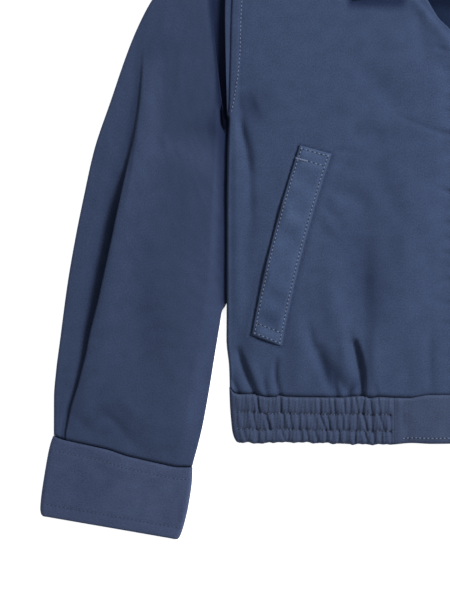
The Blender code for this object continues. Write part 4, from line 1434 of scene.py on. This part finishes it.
@dataclass
class Cuff(ClothPiece):
    """A plain double cuff, closed all round, with a stitch row near each edge."""

    solid: str = "cuff"
    slot: str = TWILL_DOUBLE.slot
    rests_on: tuple[str, ...] = ("floor",)
    closed: bool = True
    wall: float = 1.6
    edge_radius: float = 2.9
    ring_count: int = 46
    top_columns: int = 72
    under_columns: int = 18
    rings: Rows = (
        (284.9, -163.7, 187.2, -184.9), (287.2, -170.5, 187.4, -192), (291.2, -192, 190, -212),
        (293.6, -209, 193.4, -227), (294, -215, 195, -231.8), (293.5, -218.2, 196.4, -235),
        (292.4, -219.9, 197.8, -236.3),
    )
    stitch_rows: tuple[float, ...] = (8.4, 46.6)
    stitch_lift: float = 0.1
    # painted light along the cuff's edges
    cuff_edge_painted_light: float = 0.3

    def ring_rows(self) -> Pair:
        """The cuff's rings and their distance from the sleeve seam.

        Returns:
            Both, evenly spaced.
        """
        table = np.array(self.rings)
        knots = running(np.hypot(*(np.diff(0.5 * (table[:, 0:2] + table[:, 2:4]), axis=0)).T))
        places = np.linspace(0.0, knots[-1], self.ring_count)
        return eased(places, knots, table), places

    def points(self) -> Pair:
        """The cuff's outer face, with painted light along its edges and painted light and shade across it.

        Returns:
            The grid, and the shades.
        """
        rings, places = self.ring_rows()
        radius = self.edge_radius
        edge_x, edge_z = round_edge(radius)
        end = places[-1]
        grid, painted_shading = [], []
        for ring, place in zip(rings, places):
            width = row_width(ring)
            top_x = np.linspace(radius, width - radius, self.top_columns + 2)[1:-1]
            below_x = np.linspace(width - radius, radius, self.under_columns + 2)[1:-1]
            x = np.concatenate([edge_x, top_x, width - edge_x[::-1], below_x])
            share = x / width
            out, y = between(ring, share)
            y = y + cuff_seam_bow(share) * (1.0 - smooth(place / (0.9 * end)))
            calm = smooth(np.minimum(top_x, width - top_x) / 10.0)
            at = slice(len(edge_x), len(edge_x) + len(top_x))
            relief = folds_at(CUFF_FOLDS, out[at], y[at]) + 0.25 * ripple(out[at], y[at], 55.0, 0.4)
            row_dip = sum(bump(place - row, 1.9) for row in self.stitch_rows)
            wave = np.sin(top_x * 0.62 + 0.4) + 0.7 * np.sin(top_x * 1.03 + 2.0)
            near_row = sum(bump(place - row, 7.0) for row in self.stitch_rows)
            top_z = 2.0 * radius + calm * relief - 0.26 * row_dip + 0.05 * wave * near_row
            ends = 0.4 * smooth((1.0 - place) / 1.0) + 0.7 * smooth((place - end + 1.6) / 1.6)
            top_z = top_z + 0.25 * bump(place - 2.4, 3.4) - ends
            z = np.concatenate([edge_z, top_z, edge_z[::-1], 0.0 * below_x])
            grid.append(world(self.side, out, y, z))
            # painted light along the free end and the sides, which turn away from the light, with painted
            # light and shade
            painted_light_end = smooth((place - end + 1.8) / 1.8)
            painted_light_side = 1.0 - smooth(np.minimum(x, width - x) / 3.0)
            painted_shading.append(folds_at(CUFF_PAINTED_SHADING, out, y) - self.cuff_edge_painted_light * np.maximum(painted_light_end, painted_light_side))
        return np.array(grid), np.array(painted_shading)

    def stitch_paths(self) -> list[Array]:
        """The stitch rows over the cuff's upper face.

        Returns:
            Their paths.
        """
        points, _ = self.points()
        _, places = self.ring_rows()
        paths = []
        for row in self.stitch_rows:
            index = int(np.argmin(np.abs(places - row)))
            face = points[index, 6 : 6 + self.top_columns + 6]
            paths.append(face + np.array([0.0, 0.0, self.stitch_lift * MM]))
        return paths


# ---- the hem band

# creases in the band's three channels: out at the channel's upper and lower edge, width and depth
UPPER_GATHERS: Rows = (
    (152.6, 151.5, 4, 0.6), (145, 144.2, 2.2, 0.6), (142.4, 140.6, 1.9, 2.6), (126.3, 125.3, 1.8, 2.4),
    (121.4, 121.4, 3, 0.6), (112, 111, 5, 0.5), (105, 106, 4, 0.5), (98.4, 98, 2, 1.3),
    (92.4, 91.7, 2, 0.9), (88.9, 87.5, 1.9, 1.8), (81.9, 80.5, 2, 1.4), (77.4, 77.3, 2, 1.2),
    (73.5, 71.4, 1.8, 1.1), (69.6, 71, 1.8, 1.2), (67.2, 68.6, 1.9, 1.8), (63.7, 61.6, 2.1, 1.9),
    (57.4, 56, 2, 1), (52.5, 52.3, 2.8, 0.9),
)
MIDDLE_GATHERS: Rows = (
    (156.8, 156.6, 2, 1), (151.5, 150.8, 3.2, 1), (145.2, 142.8, 2, 1.3), (136.5, 133, 2.3, 2.1),
    (130, 129, 3, 0.6), (123.9, 123.6, 2.2, 1.2), (119.4, 117.6, 2.2, 1.3), (113.4, 113, 2.3, 1.6),
    (109, 109, 3, 0.6), (102.9, 102, 3, 0.6), (98.7, 93.8, 2, 1.1), (93.1, 91, 2, 2.1), (88, 86.8, 2, 0.8),
    (82.6, 82, 2.6, 1.1), (78.4, 78.8, 2.4, 0.9), (72.8, 72.6, 2.2, 1.4), (67.9, 65.1, 2, 1.8),
    (62.3, 61.6, 1.9, 2.1), (56.7, 53.2, 2, 1.4), (48.6, 48.2, 2.2, 2),
)
LOWER_GATHERS: Rows = (
    (157.5, 158, 2.5, 0.5), (151.9, 149.1, 2.4, 1.2), (142.1, 142, 2.4, 1.6), (136.5, 136.2, 3, 0.5),
    (132.3, 132, 3, 0.8), (125.3, 122.5, 2.2, 1.2), (120.4, 120.4, 2.2, 1.4), (112.3, 111.6, 2.8, 1.1),
    (107.8, 105.7, 2, 1.1), (102.2, 99.4, 2.2, 1.3), (93.8, 93.8, 2.1, 2.1), (84.7, 84.7, 2.3, 1.9),
    (79.8, 79.6, 2.2, 1.3), (73.5, 73.6, 2.2, 1.8), (67.2, 64.4, 2, 1.7), (60.9, 60.2, 2, 1.9),
    (55.3, 54.8, 2, 1.2), (48.3, 48.2, 2.2, 1.6),
)


@dataclass
class BandPiece(ClothPiece):
    """A piece of the hem band, whose shares run from 0 at the seam with the body to 1 at the free edge."""

    slot: str = TWILL_DOUBLE.slot
    seam_edge: float = 1.1
    free_edge: float = 2.2
    seam_drop: float = 0.6

    def rows(self) -> Array:
        """Shares of the piece's rows."""
        return shares(self.row_count)

    def edges(self, share: Array | float) -> Array:
        """How far the face has turned down at the seam and at the free edge."""
        seam, free = self.seam_edge / BAND_WIDTH, self.free_edge / BAND_WIDTH
        return self.seam_drop * smooth((seam - share) / seam) + smooth((share - 1.0 + free) / free)

    def painted_edge_light(self, points: Array) -> Array:
        """The painted highlight along the band's rim just under its seam, where the rim catches the light.
        """
        painted_rim_light = -0.26 * bump(BAND_WIDTH * self.rows()[:, None] - 1.3, 2.4)
        return np.broadcast_to(painted_rim_light, points.shape[:2])


@dataclass
class HemBand(BandPiece):
    """The elastic band: one strip from tab seam to tab seam round the back, gathered in three channels."""

    solid: str = "hem_band"
    rests_on: tuple[str, ...] = ("floor",)
    wall: float = 1.3
    lay: float = 5.6
    row_count: int = 50
    front_columns: int = 190
    roll_columns: int = 11
    back_columns: int = 30
    stitch_rows: tuple[float, ...] = (0.37, 0.72)
    tab_gap: float = -0.3
    side_edge: Rows = (
        (0, 161.5), (0.3, 161.1), (0.6, 160.2), (0.8, 159.3), (0.92, 158), (1, 156.2),
    )

    def relief(self, out: Array, share: float) -> Array:
        """Gathers and channels of the band's face.

        Args:
            out: Distance from the centre front.
            share: 0 at the seam with the body, 1 at the free edge.

        Returns:
            Added height.
        """
        first, second = self.stitch_rows
        pinch = float(bump(share - first, 0.13) + bump(share - second, 0.13))
        total = np.zeros_like(out)
        tables = (UPPER_GATHERS, MIDDLE_GATHERS, LOWER_GATHERS)
        for start, end, gathers in zip((0.0, first, second), (first, second, 1.0), tables):
            along = (share - start) / (end - start)
            within = float(smooth((along + 0.08) / 0.1) * smooth((1.08 - along) / 0.1))
            within_channel = min(max(along, 0.0), 1.0)
            total = total + within * math.sin(math.pi * within_channel) ** 0.6
            for high, low, width, depth in gathers:
                at = mix(high, low, within_channel)
                lit = 0.3 * depth * bump(out - at - width, 1.6 * width)
                total = total + 0.72 * within * (lit - depth * bump(out - at, width))
        fine = 0.14 * np.sin(out * 1.7 + 5.0 * share) + 0.12 * np.sin(out * 2.7 + 1.0 - 7.0 * share)
        on = smooth((out - PLAN.tab_seam - 0.6) / 2.4)
        return on * (total + fine - 0.45 * pinch)

    def section(self, share: float) -> Pair:
        """Cross-section of the band's half, from the tab seam over the front, round the side, to the back.

        Args:
            share: 0 at the seam with the body, 1 at the free edge.

        Returns:
            Out and z.
        """
        radius = 0.5 * self.lay
        side = float(read_rows(self.side_edge, share)) - radius
        front = np.linspace(PLAN.tab_seam + self.tab_gap, side, self.front_columns)
        front_z = self.lay + self.relief(front, share) * smooth((side + 1.0 - front) / 6.0)
        front_z = front_z - 1.5 * self.edges(share)
        angles = np.linspace(math.pi / 2.0, -math.pi / 2.0, self.roll_columns)[1:]
        roll = side + radius * np.cos(angles)
        roll_z = radius + radius * np.sin(angles)
        back = np.linspace(side, 0.0, self.back_columns + 1)[1:]
        return np.concatenate([front, roll, back]), np.concatenate([front_z, roll_z, 0.0 * back])

    def y_at(self, out: Array, share: float) -> Array:
        """Plan height of the band at a share of its width, its free edge a little scalloped.

        Args:
            out: Distance from the centre front.
            share: 0 at the seam with the body, 1 at the free edge.

        Returns:
            Y in the plan.
        """
        wave = 0.3 * np.sin(out * 0.9) + 0.3 * np.sin(out * 0.47 + 1.0)
        on = smooth((out - PLAN.tab_seam) / 6.0) * smooth((self.side_edge[0][1] - out) / 10.0)
        return PLAN.band_y(out, share) + wave * on * share

    def points(self) -> Pair:
        """The band's outer face.

        Returns:
            The grid, and the shades.
        """
        grid = []
        for share in self.rows():
            out, z = self.section(float(share))
            right, left = (world(side, out, self.y_at(out, float(share)), z) for side in Side)
            grid.append(np.concatenate([right, left[-2::-1]]))
        points = np.array(grid)
        return points, self.painted_edge_light(points)

    def stitch_paths(self) -> list[Array]:
        """The elastic's stitch rows over both halves of the front.

        Returns:
            Their paths.
        """
        paths = []
        for row in self.stitch_rows:
            out, z = self.section(row)
            keep = slice(2, self.front_columns - 2)
            for side in Side:
                paths.append(world(side, out[keep], self.y_at(out[keep], row), z[keep] + self.stitch_lift))
        return paths


@dataclass
class HemTab(BandPiece):
    """The plain front end of the band."""

    solid: str = "hem_tab"
    turned: Side = Side.LEFT
    wall: float = 1.5
    lay: float = 5.55
    row_count: int = 30
    column_count: int = 40
    seam_edge: float = 1.0
    free_edge: float = 2.0
    seam_drop: float = 0.5
    stitch_share: float = 0.885

    def height(self, out: Array, share: Array) -> Array:
        """Height of the tab's face.

        Args:
            out: Distance from the centre front.
            share: 0 at the seam with the body, 1 at the free edge.

        Returns:
            Height.
        """
        centre = smooth((16.0 - out) / 11.0)
        seam = 0.5 * bump(out - 40.2, 2.2) * smooth((0.75 - share) / 0.3) + 0.3 * bump(out - 37.0, 4.0)
        soft = 0.35 * ripple(out, share * BAND_WIDTH, 40.0, 2.0) + 0.4 * bump(out - 43.0, 5.0)
        near = smooth((PLAN.tab_seam - out) / 4.0)
        return self.lay - 1.1 * centre - 1.5 * self.edges(share) + near * (soft - seam)

    def points(self) -> Pair:
        """The tab's outer face.

        Returns:
            The grid, and the shades.
        """
        across = np.linspace(PLAN.centre_edge, PLAN.tab_seam, self.column_count)
        out, share = np.meshgrid(across, self.rows())
        points = world(self.side, out, PLAN.band_y(out, share), self.height(out, share))
        return points, self.painted_edge_light(points)

    def stitch_paths(self) -> list[Array]:
        """The stitch row along the tab's free edge.

        Returns:
            Its one path.
        """
        out = np.linspace(PLAN.centre_edge + 3.0, PLAN.tab_seam - 7.0, self.column_count)
        share = np.full(self.column_count, self.stitch_share)
        height = self.height(out, share) + self.stitch_lift
        return [world(self.side, out, PLAN.band_y(out, share), height)]


# ---- welts and collar


@dataclass
class Welt(ClothPiece):
    """The slanted pocket welt, on its front's own points, with its opening edge a little lifted."""

    solid: str = "pocket_welt"
    slot: str = TWILL_DOUBLE.slot
    wall: float = 1.2
    clearance: float = 0.35
    lift: float = 0.4
    sewn_sink: float = 0.8
    gapes: Rows = ((0.34, 0.14), (0.66, 0.2))
    row_count: int = 110
    column_count: int = 26
    edge_inset: float = 2.1
    second_row: float = 9.2
    stitch_lift: float = 0.14
    tack_lift: float = 0.2
    long_points: int = 60
    short_points: int = 12
    length: float = 137.0
    width: float = 23.4

    def face(self, across: Array, along: Array) -> tuple[Array, Array, Array]:
        """Plan and height of a place on the welt's upper face.

        Args:
            across: 0 at the opening edge, 1 at the fixed edge.
            along: 0 at the upper end, 1 at the lower end.

        Returns:
            Out, y and z.
        """
        out, y = WELT.point(across, along)
        ground = FrontRelief(self.side).height(*WELT.point(0.12 + 0.76 * np.asarray(across), along))
        gape = 1.0 + 2.2 * sum(bump(along - place, length) for place, length in self.gapes)
        free = np.sin(math.pi * along) ** 0.7 * smooth((0.6 - across) / 0.6) * gape
        inset_x = np.minimum(across, 1.0 - across) * self.width
        inset_y = np.minimum(along, 1.0 - along) * self.length
        inset = np.minimum(inset_x, inset_y)
        edge = np.sqrt(np.clip(1.0 - (1.0 - np.clip(inset / 1.3, 0.0, 1.0)) ** 2, 0.0, 1.0))
        rows = bump(inset - self.edge_inset, 1.5) + bump(inset_y - self.second_row, 1.5)
        puff = 0.3 * smooth((inset - 2.0) / 4.0)
        ripples = 0.7 * np.sin(along * 19.0 + 3.0 * across + 0.6) * smooth(inset_x / 6.0)
        ripples = ripples + 0.26 * np.sin(along * 41.0 - 4.0 * across) * smooth(inset_x / 4.0)
        fixed = self.sewn_sink * smooth((across - 0.84) / 0.14)
        z = ground + self.clearance + self.wall * (0.25 + 0.75 * edge) + self.lift * free
        z = z - 0.22 * rows + puff + ripples - fixed
        return out, y, z

    def points(self) -> Pair:
        """The welt's upper face, with its painted light and shade.

        Returns:
            The grid, and the shades.
        """
        columns, rows = shares(self.column_count), shares(self.row_count)
        across, along = np.meshgrid(columns, rows)
        out, y, z = self.face(across, along)
        return world(self.side, out, y, z), folds_at(WELT_PAINTED_SHADING, out, y)

    def path(self, across: Array | float, along: Array | float, lift: float) -> Array:
        """A path at a height over the welt's face."""
        out, y, z = self.face(*np.broadcast_arrays(across, along))
        return world(self.side, out, y, z + lift)

    def stitch_paths(self) -> list[Array]:
        """The welt's stitch rows.

        Returns:
            Their paths.
        """
        inset_x, inset_y = self.edge_inset / self.width, self.edge_inset / self.length
        second = self.second_row / self.length
        long_run = np.linspace(inset_y, 1.0 - inset_y, self.long_points)
        short_run = np.linspace(inset_x, 1.0 - inset_x, self.short_points)
        paths = [self.path(across, long_run, self.stitch_lift) for across in (inset_x, 1.0 - inset_x)]
        for along in (inset_y, 1.0 - inset_y, second, 1.0 - second):
            paths.append(self.path(short_run, along, self.stitch_lift))
        return paths

    def tack_path(self) -> Array:
        """Path of the bar tack at the opening's upper end."""
        return self.path(np.linspace(0.02, 0.36, 6), (self.second_row + 0.2) / self.length, self.tack_lift)


@dataclass
class Collar(ClothPiece):
    """The fold-over collar, one strip from tip to tip round the neck.

    Each section of the table has its seam point, the way it faces in the plan, the middle of its fold and
    the free edge of its leaf.
    """

    solid: str = "collar"
    slot: str = TWILL_DOUBLE.slot
    wall: float = 1.4
    offset: float = 0.0
    stitch_lift: float = 0.8
    fold_radius: float = 1.8
    steps: int = 130
    sections: Rows = (
        (32.6, 147.4, 5.6, -8, -3.4, 9.8, 41, 7.6), (42.6, 168, 5.3, -10, -5.2, 10.8, 39.4, 7.2),
        (51, 184.6, 5.2, -6, -5.4, 12, 36, 6.9), (58.8, 204.4, 5, 4, -4.4, 13, 29, 7.3),
        (62.6, 213.6, 4.6, 22, -2, 13.6, 24, 7), (62, 221.4, 4.2, 46, 3, 13, 20.6, 5.4),
        (53, 224.4, 3.4, 70, 11, 9.6, 14.6, 2), (38, 221.6, 2.6, 82, 17, 5, 6.4, 0.9),
        (20, 218.6, 2.2, 87, 19, 3.2, 6, 0.8), (0, 217.4, 2, 90, 19.6, 2.9, 6, 0.8),
    )

    def profile(self, section: Array) -> Array:
        """Middle line of one section, from the seam over the fold to the leaf's edge.

        Args:
            section: One row of the table.

        Returns:
            Outward distance and height, a row each.
        """
        base, fold, leaf = np.array([0.0, section[2]]), section[4:6], section[6:8]
        rise = (fold - base) / np.hypot(*(fold - base))
        outside = np.array([rise[1], -rise[0]])
        stand_top = fold - self.fold_radius * outside
        line = [mix(base, stand_top, share) for share in shares(7)[:-1]]
        for angle in np.linspace(0.0, math.pi, 9):
            line.append(fold + self.fold_radius * (math.sin(angle) * rise - math.cos(angle) * outside))
        start = line[-1]
        for share in shares(19)[1:]:
            sag = -0.5 * math.sin(math.pi * share)
            line.append(mix(start, leaf, share) + np.array([0.0, sag]))
        return np.array(line)

    def points(self) -> tuple[Array, None]:
        """The collar's middle surface.

        Returns:
            The grid, and no shade.
        """
        table = np.array(self.sections)
        knots = running(np.hypot(*np.diff(table[:, 0:2], axis=0).T) + 6.0)
        half = eased(np.linspace(0.0, knots[-1], self.steps // 2), knots, table)
        grid = []
        for side, rows in ((Side.RIGHT, half), (Side.LEFT, half[-2::-1])):
            for section in rows:
                line = self.profile(section)
                facing = math.radians(section[3])
                out = section[0] + line[:, 0] * math.cos(facing)
                y = section[1] + line[:, 0] * math.sin(facing)
                grid.append(world(side, out, y, line[:, 1]))
        return np.array(grid), None

    def stitch_paths(self) -> list[Array]:
        """Path of the stitch row along the leaf's edge."""
        return [self.points()[0][2:-2, -3] + np.array([0.0, 0.0, self.stitch_lift * MM])]


# ---- stitches


@dataclass(frozen=True)
class StitchShape:
    """Size of one stitch and of the step between stitches, in metres."""

    pitch: float = 0.0028
    length: float = 0.0018
    width: float = 0.0007
    height: float = 0.0006
    wander: float = 0.12


def stitch_tree() -> Tree:
    """Geometry Nodes that lay one bead after another along a polyline.

    Returns:
        The tree, with inputs for the pitch, the bead's three sizes, its wander, the seed and the material.
    """
    sizes = ("Length", "Width", "Height")
    inputs = {"Geometry": "Geometry", **dict.fromkeys(("Pitch", *sizes, "Wander"), "Float")}
    inputs |= {"Seed": "Int", "Material": "Material"}
    tree = node_group("stitch_row", "Geometry", inputs, {"Geometry": "Geometry"})
    add = partial(node, tree)
    enter = add("NodeGroupInput").outputs
    curve = add("GeometryNodeMeshToCurve", {"Mesh": enter["Geometry"]}).outputs[0]
    steps = {"Curve": curve, "Length": enter["Pitch"]}
    places = add("GeometryNodeResampleCurve", steps, mode="LENGTH").outputs[0]
    tangent = add("GeometryNodeInputTangent").outputs[0]
    along = add("FunctionNodeAlignRotationToVector", {"Vector": tangent}, axis="X").outputs[0]
    low, high = (
        vector_node(tree, "SCALE", {0: (0.0, 0.3 * sign, sign), "Scale": enter["Wander"]})
        for sign in (-1.0, 1.0)
    )
    draw = {"Min": low, "Max": high, "Seed": enter["Seed"]}
    jitter = add("FunctionNodeRandomValue", draw, data_type="FLOAT_VECTOR").outputs[0]
    turn = {"Rotation": along, "Rotate By": jitter}
    turned = add("FunctionNodeRotateRotation", turn, rotation_space="LOCAL").outputs[0]
    bead = add("GeometryNodeMeshUVSphere", {"Segments": 6, "Rings": 5, "Radius": 0.5}).outputs["Mesh"]
    axes = {index: enter[label] for index, label in enumerate(sizes)}
    size = add("ShaderNodeCombineXYZ", axes).outputs[0]
    place = {"Points": places, "Instance": bead, "Rotation": turned, "Scale": size}
    beads = add("GeometryNodeInstanceOnPoints", place).outputs[0]
    beads = add("GeometryNodeRealizeInstances", {"Geometry": beads}).outputs[0]
    beads = add("GeometryNodeSetMaterial", {"Geometry": beads, "Material": enter["Material"]}).outputs[0]
    add("NodeGroupOutput", {"Geometry": beads})
    return tree


def bead_row(
    name: str, paths: list[Array], shape: StitchShape, tree: Tree, material: Material, seed: int
) -> None:
    """Beads along one or more paths, as a plain mesh on the jacket's body.

    Args:
        name: The piece's name.
        paths: Polylines in metres.
        shape: Size and step of the beads.
        tree: The Geometry Nodes tree.
        material: The finish.
        seed: Seed of the beads' wander.
    """
    points: list[list[float]] = []
    edges: list[tuple[int, int]] = []
    for path in paths:
        start = len(points)
        points.extend(np.asarray(path).tolist())
        edges.extend((index, index + 1) for index in range(start, len(points) - 1))
    guide = bpy.data.meshes.new(f"{name}_guide")
    guide.from_pydata(points, edges, [])
    made = shown(name, guide)
    modifier = made.modifiers.new("row", "NODES")
    modifier.node_group = tree
    values = {label.title(): value for label, value in vars(shape).items()}
    values |= {"Seed": seed, "Material": material}
    for item in tree.interface.items_tree:
        if item.in_out == "INPUT" and item.name in values:
            modifier[item.identifier] = values[item.name]
    bpy.context.view_layer.update()
    graph = bpy.context.evaluated_depsgraph_get()
    mesh = bpy.data.meshes.new_from_object(made.evaluated_get(graph))
    made.modifiers.clear()
    made.data = mesh
    mesh.name = name
    mesh.shade_smooth()
    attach(made, ROOT_BODY)
    LOG.info("%s: %d faces", name, len(mesh.polygons))


def trimmed(path: Array, amount: float) -> Array:
    """A path without a short stretch at each end.

    Args:
        path: Points in metres.
        amount: Length to take off each end, in metres.

    Returns:
        The shorter path.
    """
    along = running(np.linalg.norm(np.diff(path, axis=0), axis=1))
    kept = np.linspace(amount, along[-1] - amount, len(path))
    return np.stack([np.interp(kept, along, path[:, axis]) for axis in range(3)], axis=1)


def surface_path(side: Side, out: Array, y: Array, lift: float = 0.12) -> Array:
    """A path on a front's face, in metres."""
    return world(side, out, y, FrontRelief(side).height(out, y) + lift)


@dataclass
class Sewing:
    """All visible stitching: light thread, the tonal one of band and cuffs, and painted shadow in needle
    holes.
    """

    tree: Tree
    thread: Material
    tonal: Material
    dark: Material
    row: StitchShape = StitchShape()
    elastic: StitchShape = StitchShape(pitch=0.0026, length=0.0012, width=0.0006)
    hole: StitchShape = StitchShape(length=0.0011, width=0.00075, height=0.0005)
    elastic_hole: StitchShape = StitchShape(pitch=0.0026, length=0.0018, width=0.001, height=0.0007)
    bold_hole: StitchShape = StitchShape(length=0.0014, width=0.001, height=0.00065)
    fine: StitchShape = StitchShape(length=0.0012, width=0.0004, height=0.0003)
    tack: StitchShape = StitchShape(pitch=0.0004, length=0.0005, width=0.0016, height=0.0008, wander=0.05)
    hole_sink: float = 0.08
    hole_seed: int = 100
    armhole_inset: Rows = ((60, 1.8), (70, 3.6), (90, 6.4), (105, 7.2), (150, 7.4))
    zip_inset: float = 1.5

    def armhole_path(self, side: Side) -> Array:
        """Topstitch beside the armhole seam.

        Args:
            side: Which side of the jacket.

        Returns:
            Its path.
        """
        y = np.linspace(PLAN.underarm[1] + 5.0, PLAN.shoulder_tip[1] - 4.0, 160)
        inset = np.interp(y, *np.array(self.armhole_inset).T)
        return surface_path(side, PLAN.armhole_out(y) - inset, y)

    def zip_path(self, side: Side) -> Array:
        """Topstitch beside the zip, up to the vent."""
        y = np.linspace(PLAN.hem_y + 2.0, 106.0, 260)
        return surface_path(side, np.full(260, PLAN.centre_edge + self.zip_inset), y)

    def build(self) -> None:
        """Sew every row."""
        for number, side in enumerate(Side):
            seed = 10 * number
            word = side.word
            tack = [Welt(side).tack_path()]
            bead_row(f"tack_welt_{word}", tack, self.tack, self.tree, self.thread, seed)
            front = [self.armhole_path(side), self.zip_path(side)]
            self.sew(f"front_{word}", front, self.row, self.hole, self.thread, seed + 1)
            welt = Welt(side).stitch_paths()
            self.sew(f"welt_{word}", welt, self.row, self.bold_hole, self.thread, seed + 2)
            tab = HemTab(side).stitch_paths()
            self.sew(f"tab_{word}", tab, self.row, self.bold_hole, self.thread, seed + 3)
            cuff = Cuff(side).stitch_paths()
            self.sew(f"cuff_{word}", cuff, self.fine, self.fine, self.tonal, seed + 4)
        self.sew("band", HemBand().stitch_paths(), self.elastic, self.elastic_hole, self.tonal, 31)
        self.sew("collar", Collar().stitch_paths(), self.row, self.hole, self.thread, 32)

    def sew(
        self,
        place: str,
        paths: list[Array],
        stitch: StitchShape,
        hole: StitchShape,
        thread: Material,
        seed: int,
    ) -> None:
        """Sew one seam: its thread, and dark beads of painted shadow in the needle holes between the
        stitches.

        Args:
            place: The seam's name.
            paths: Its lines in metres.
            stitch: The stitches' shape.
            hole: The holes' shape.
            thread: The thread.
            seed: Seed of the stitches' wander.
        """
        bead_row(f"stitches_{place}", paths, stitch, self.tree, thread, seed)
        sink = np.array([0.0, 0.0, self.hole_sink * MM])
        holes = [trimmed(path, 0.5 * stitch.pitch) - sink for path in paths]
        bead_row(f"needle_holes_{place}", holes, hole, self.tree, self.dark, seed + self.hole_seed)


@dataclass
class Zip:
    """The zip: two tapes with their coils."""

    chain_z: float = 3.6
    tape_out: float = 13.0
    tape_z: float = 3.3
    tape_wall: float = 0.5
    coil: StitchShape = StitchShape(pitch=0.0013, length=0.0009, width=0.0024, height=0.0021, wander=0.0)
    vent_tuck: float = 3.4
    straight_from: float = -168.6
    slider_y: float = 104.5
    coil_out: float = 1.15
    tape_columns: int = 10
    first_seed: int = 40

    def path(self) -> Array:
        """Inner edge of a zip half, from the hem to the neck.

        Returns:
            Rows of out and y.
        """
        straight = [(0.15, y) for y in np.linspace(self.straight_from, self.slider_y - 1.5, 90)]
        spread = [(0.15 + 0.51 * (y - self.slider_y + 1.0), y) for y in np.linspace(106.5, 124.2, 12)]
        neck = [(10.6 + 0.86 * (y - 124.2), y) for y in np.linspace(127.0, 153.0, 16)]
        return np.array(straight + spread + neck)

    def build(self, tree: Tree, tape: Material, coil: Material) -> None:
        """Build both halves.

        Args:
            tree: The Geometry Nodes tree that lays the coils.
            tape: The tape's finish.
            coil: The coil's finish.
        """
        path = self.path()
        run = np.gradient(path, axis=0)
        run = run / np.hypot(run[:, 0], run[:, 1])[:, None]
        across = np.stack([run[:, 1], -run[:, 0]], axis=1)
        path = path + self.vent_tuck * smooth((path[:, [1]] - 108.0) / 12.0) * across
        for number, side in enumerate(Side):
            offsets = np.linspace(0.6, self.tape_out, self.tape_columns)
            plan = path[:, None, :] + offsets[None, :, None] * across[:, None, :]
            points = world(side, plan[..., 0], plan[..., 1], np.full(plan.shape[:2], self.tape_z))
            name = f"zip_tape_{side.word}"
            piece = cloth_object(name, points, tape, self.tape_wall, flip=side is Side.RIGHT)
            declare(piece, f"zip_half_{side.word}")
            middle = path + self.coil_out * across
            line = world(side, middle[:, 0], middle[:, 1], np.full(len(path), self.chain_z))
            seed = self.first_seed + number
            bead_row(f"zip_coils_{side.word}", [line], self.coil, tree, coil, seed)


def dress_metal(frame: dict, material: Material) -> None:
    """Give the slider and the pull their metal.

    Args:
        frame: The loaded frame.
        material: The metal.
    """
    for node in ("zip_slider", "zip_pull"):
        piece = frame["nodes"][node]
        piece.data.materials.clear()
        piece.data.materials.append(material)


# ---- light and camera


@dataclass
class Studio:
    """White table, soft light from the upper right and a camera straight above."""

    view_x: float = -164.5
    view_y: float = -70.65
    view_height: float = 420.0
    cloth_height: float = 5.0
    distance: float = 2.2
    key_power: float = 41.0
    key_size: float = 0.6
    key_place: tuple[float, float, float] = (0.915, 0.59, 1.06)
    sky: float = 0.5
    paper_glow: float = 0.72

    def build(self) -> None:
        """Build the table, the lights and the camera."""
        self.table()
        self.lights()
        self.camera()

    def table(self) -> None:
        """The white table top."""
        mesh = bpy.data.meshes.new("floor")
        bm = bmesh.new()
        bmesh.ops.create_grid(bm, x_segments=1, y_segments=1, size=3.0)
        bm.to_mesh(mesh)
        bm.free()
        table = shown("floor", mesh)
        table.location.z = -0.1 * MM
        paper, tree, shader = new_material("white_paper")
        looks = {
            "Base Color": (0.93, 0.93, 0.93, 1.0),
            "Roughness": 0.9,
            "Specular IOR Level": 0.1,
            "Emission Color": (1.0, 1.0, 1.0, 1.0),
            "Emission Strength": self.paper_glow,
        }
        feed(tree, shader, looks)
        mesh.materials.append(paper)

    def lights(self) -> None:
        """A large soft key from the upper right and an even white surround."""
        lamp = bpy.data.lights.new("key", "AREA")
        lamp.shape = "DISK"
        lamp.size = self.key_size
        lamp.energy = self.key_power
        key = shown("key", lamp)
        key.location = self.key_place
        target = np.array([self.view_x, self.view_y, 0.0]) * MM
        away = np.array(self.key_place) - target
        tilt = math.acos(away[2] / np.linalg.norm(away))
        key.rotation_euler = (tilt, 0.0, math.atan2(away[1], away[0]) + math.pi / 2)
        surround = bpy.data.worlds.new("surround")
        surround.use_nodes = True
        sky = {"Color": (1.0, 1.0, 1.0, 1.0), "Strength": self.sky}
        feed(surround.node_tree, surround.node_tree.nodes["Background"], sky)
        bpy.context.scene.world = surround

    def camera(self) -> None:
        """The camera, straight above the part of the jacket that the picture frames."""
        lens = bpy.data.cameras.new("camera")
        lens.sensor_fit = "VERTICAL"
        lens.sensor_height = 36.0
        lens.lens = 36.0 * (self.distance - self.cloth_height * MM) / (self.view_height * MM)
        lens.clip_start = 0.05
        lens.clip_end = 20.0
        camera = shown("camera", lens)
        camera.location = (self.view_x * MM, self.view_y * MM, self.distance)
        bpy.context.scene.camera = camera
        bpy.context.scene.view_settings.view_transform = "Standard"


def main() -> None:
    """Build the whole jacket on its frame."""
    logging.basicConfig(level=logging.INFO, format="%(name)s: %(message)s")
    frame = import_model()
    weave = twill_group()
    twill, trim, welt, cuff, sleeve = (
        finish.material(weave) for finish in (TWILL, TWILL_DOUBLE, TWILL_WELT, TWILL_CUFF_LIT, TWILL_SLEEVE_SHADED)
    )
    Studio().build()
    BackPanel().build(INSIDE_SHADED.material(weave))
    for side in Side:
        FrontPanel(side).build(twill)
        Sleeve(side).build(sleeve)
        Cuff(side).build(cuff)
        HemTab(side).build(trim)
        Welt(side).build(welt)
    HemBand().build(trim)
    Collar().build(trim)
    tree = stitch_tree()
    Sewing(tree, THREAD.material(), THREAD_DARK.material(), HOLE_SHADOW.material()).build()
    Zip().build(tree, TAPE.material(weave), COIL.material())
    dress_metal(frame, METAL.material())


if __name__ == "__main__":
    main()
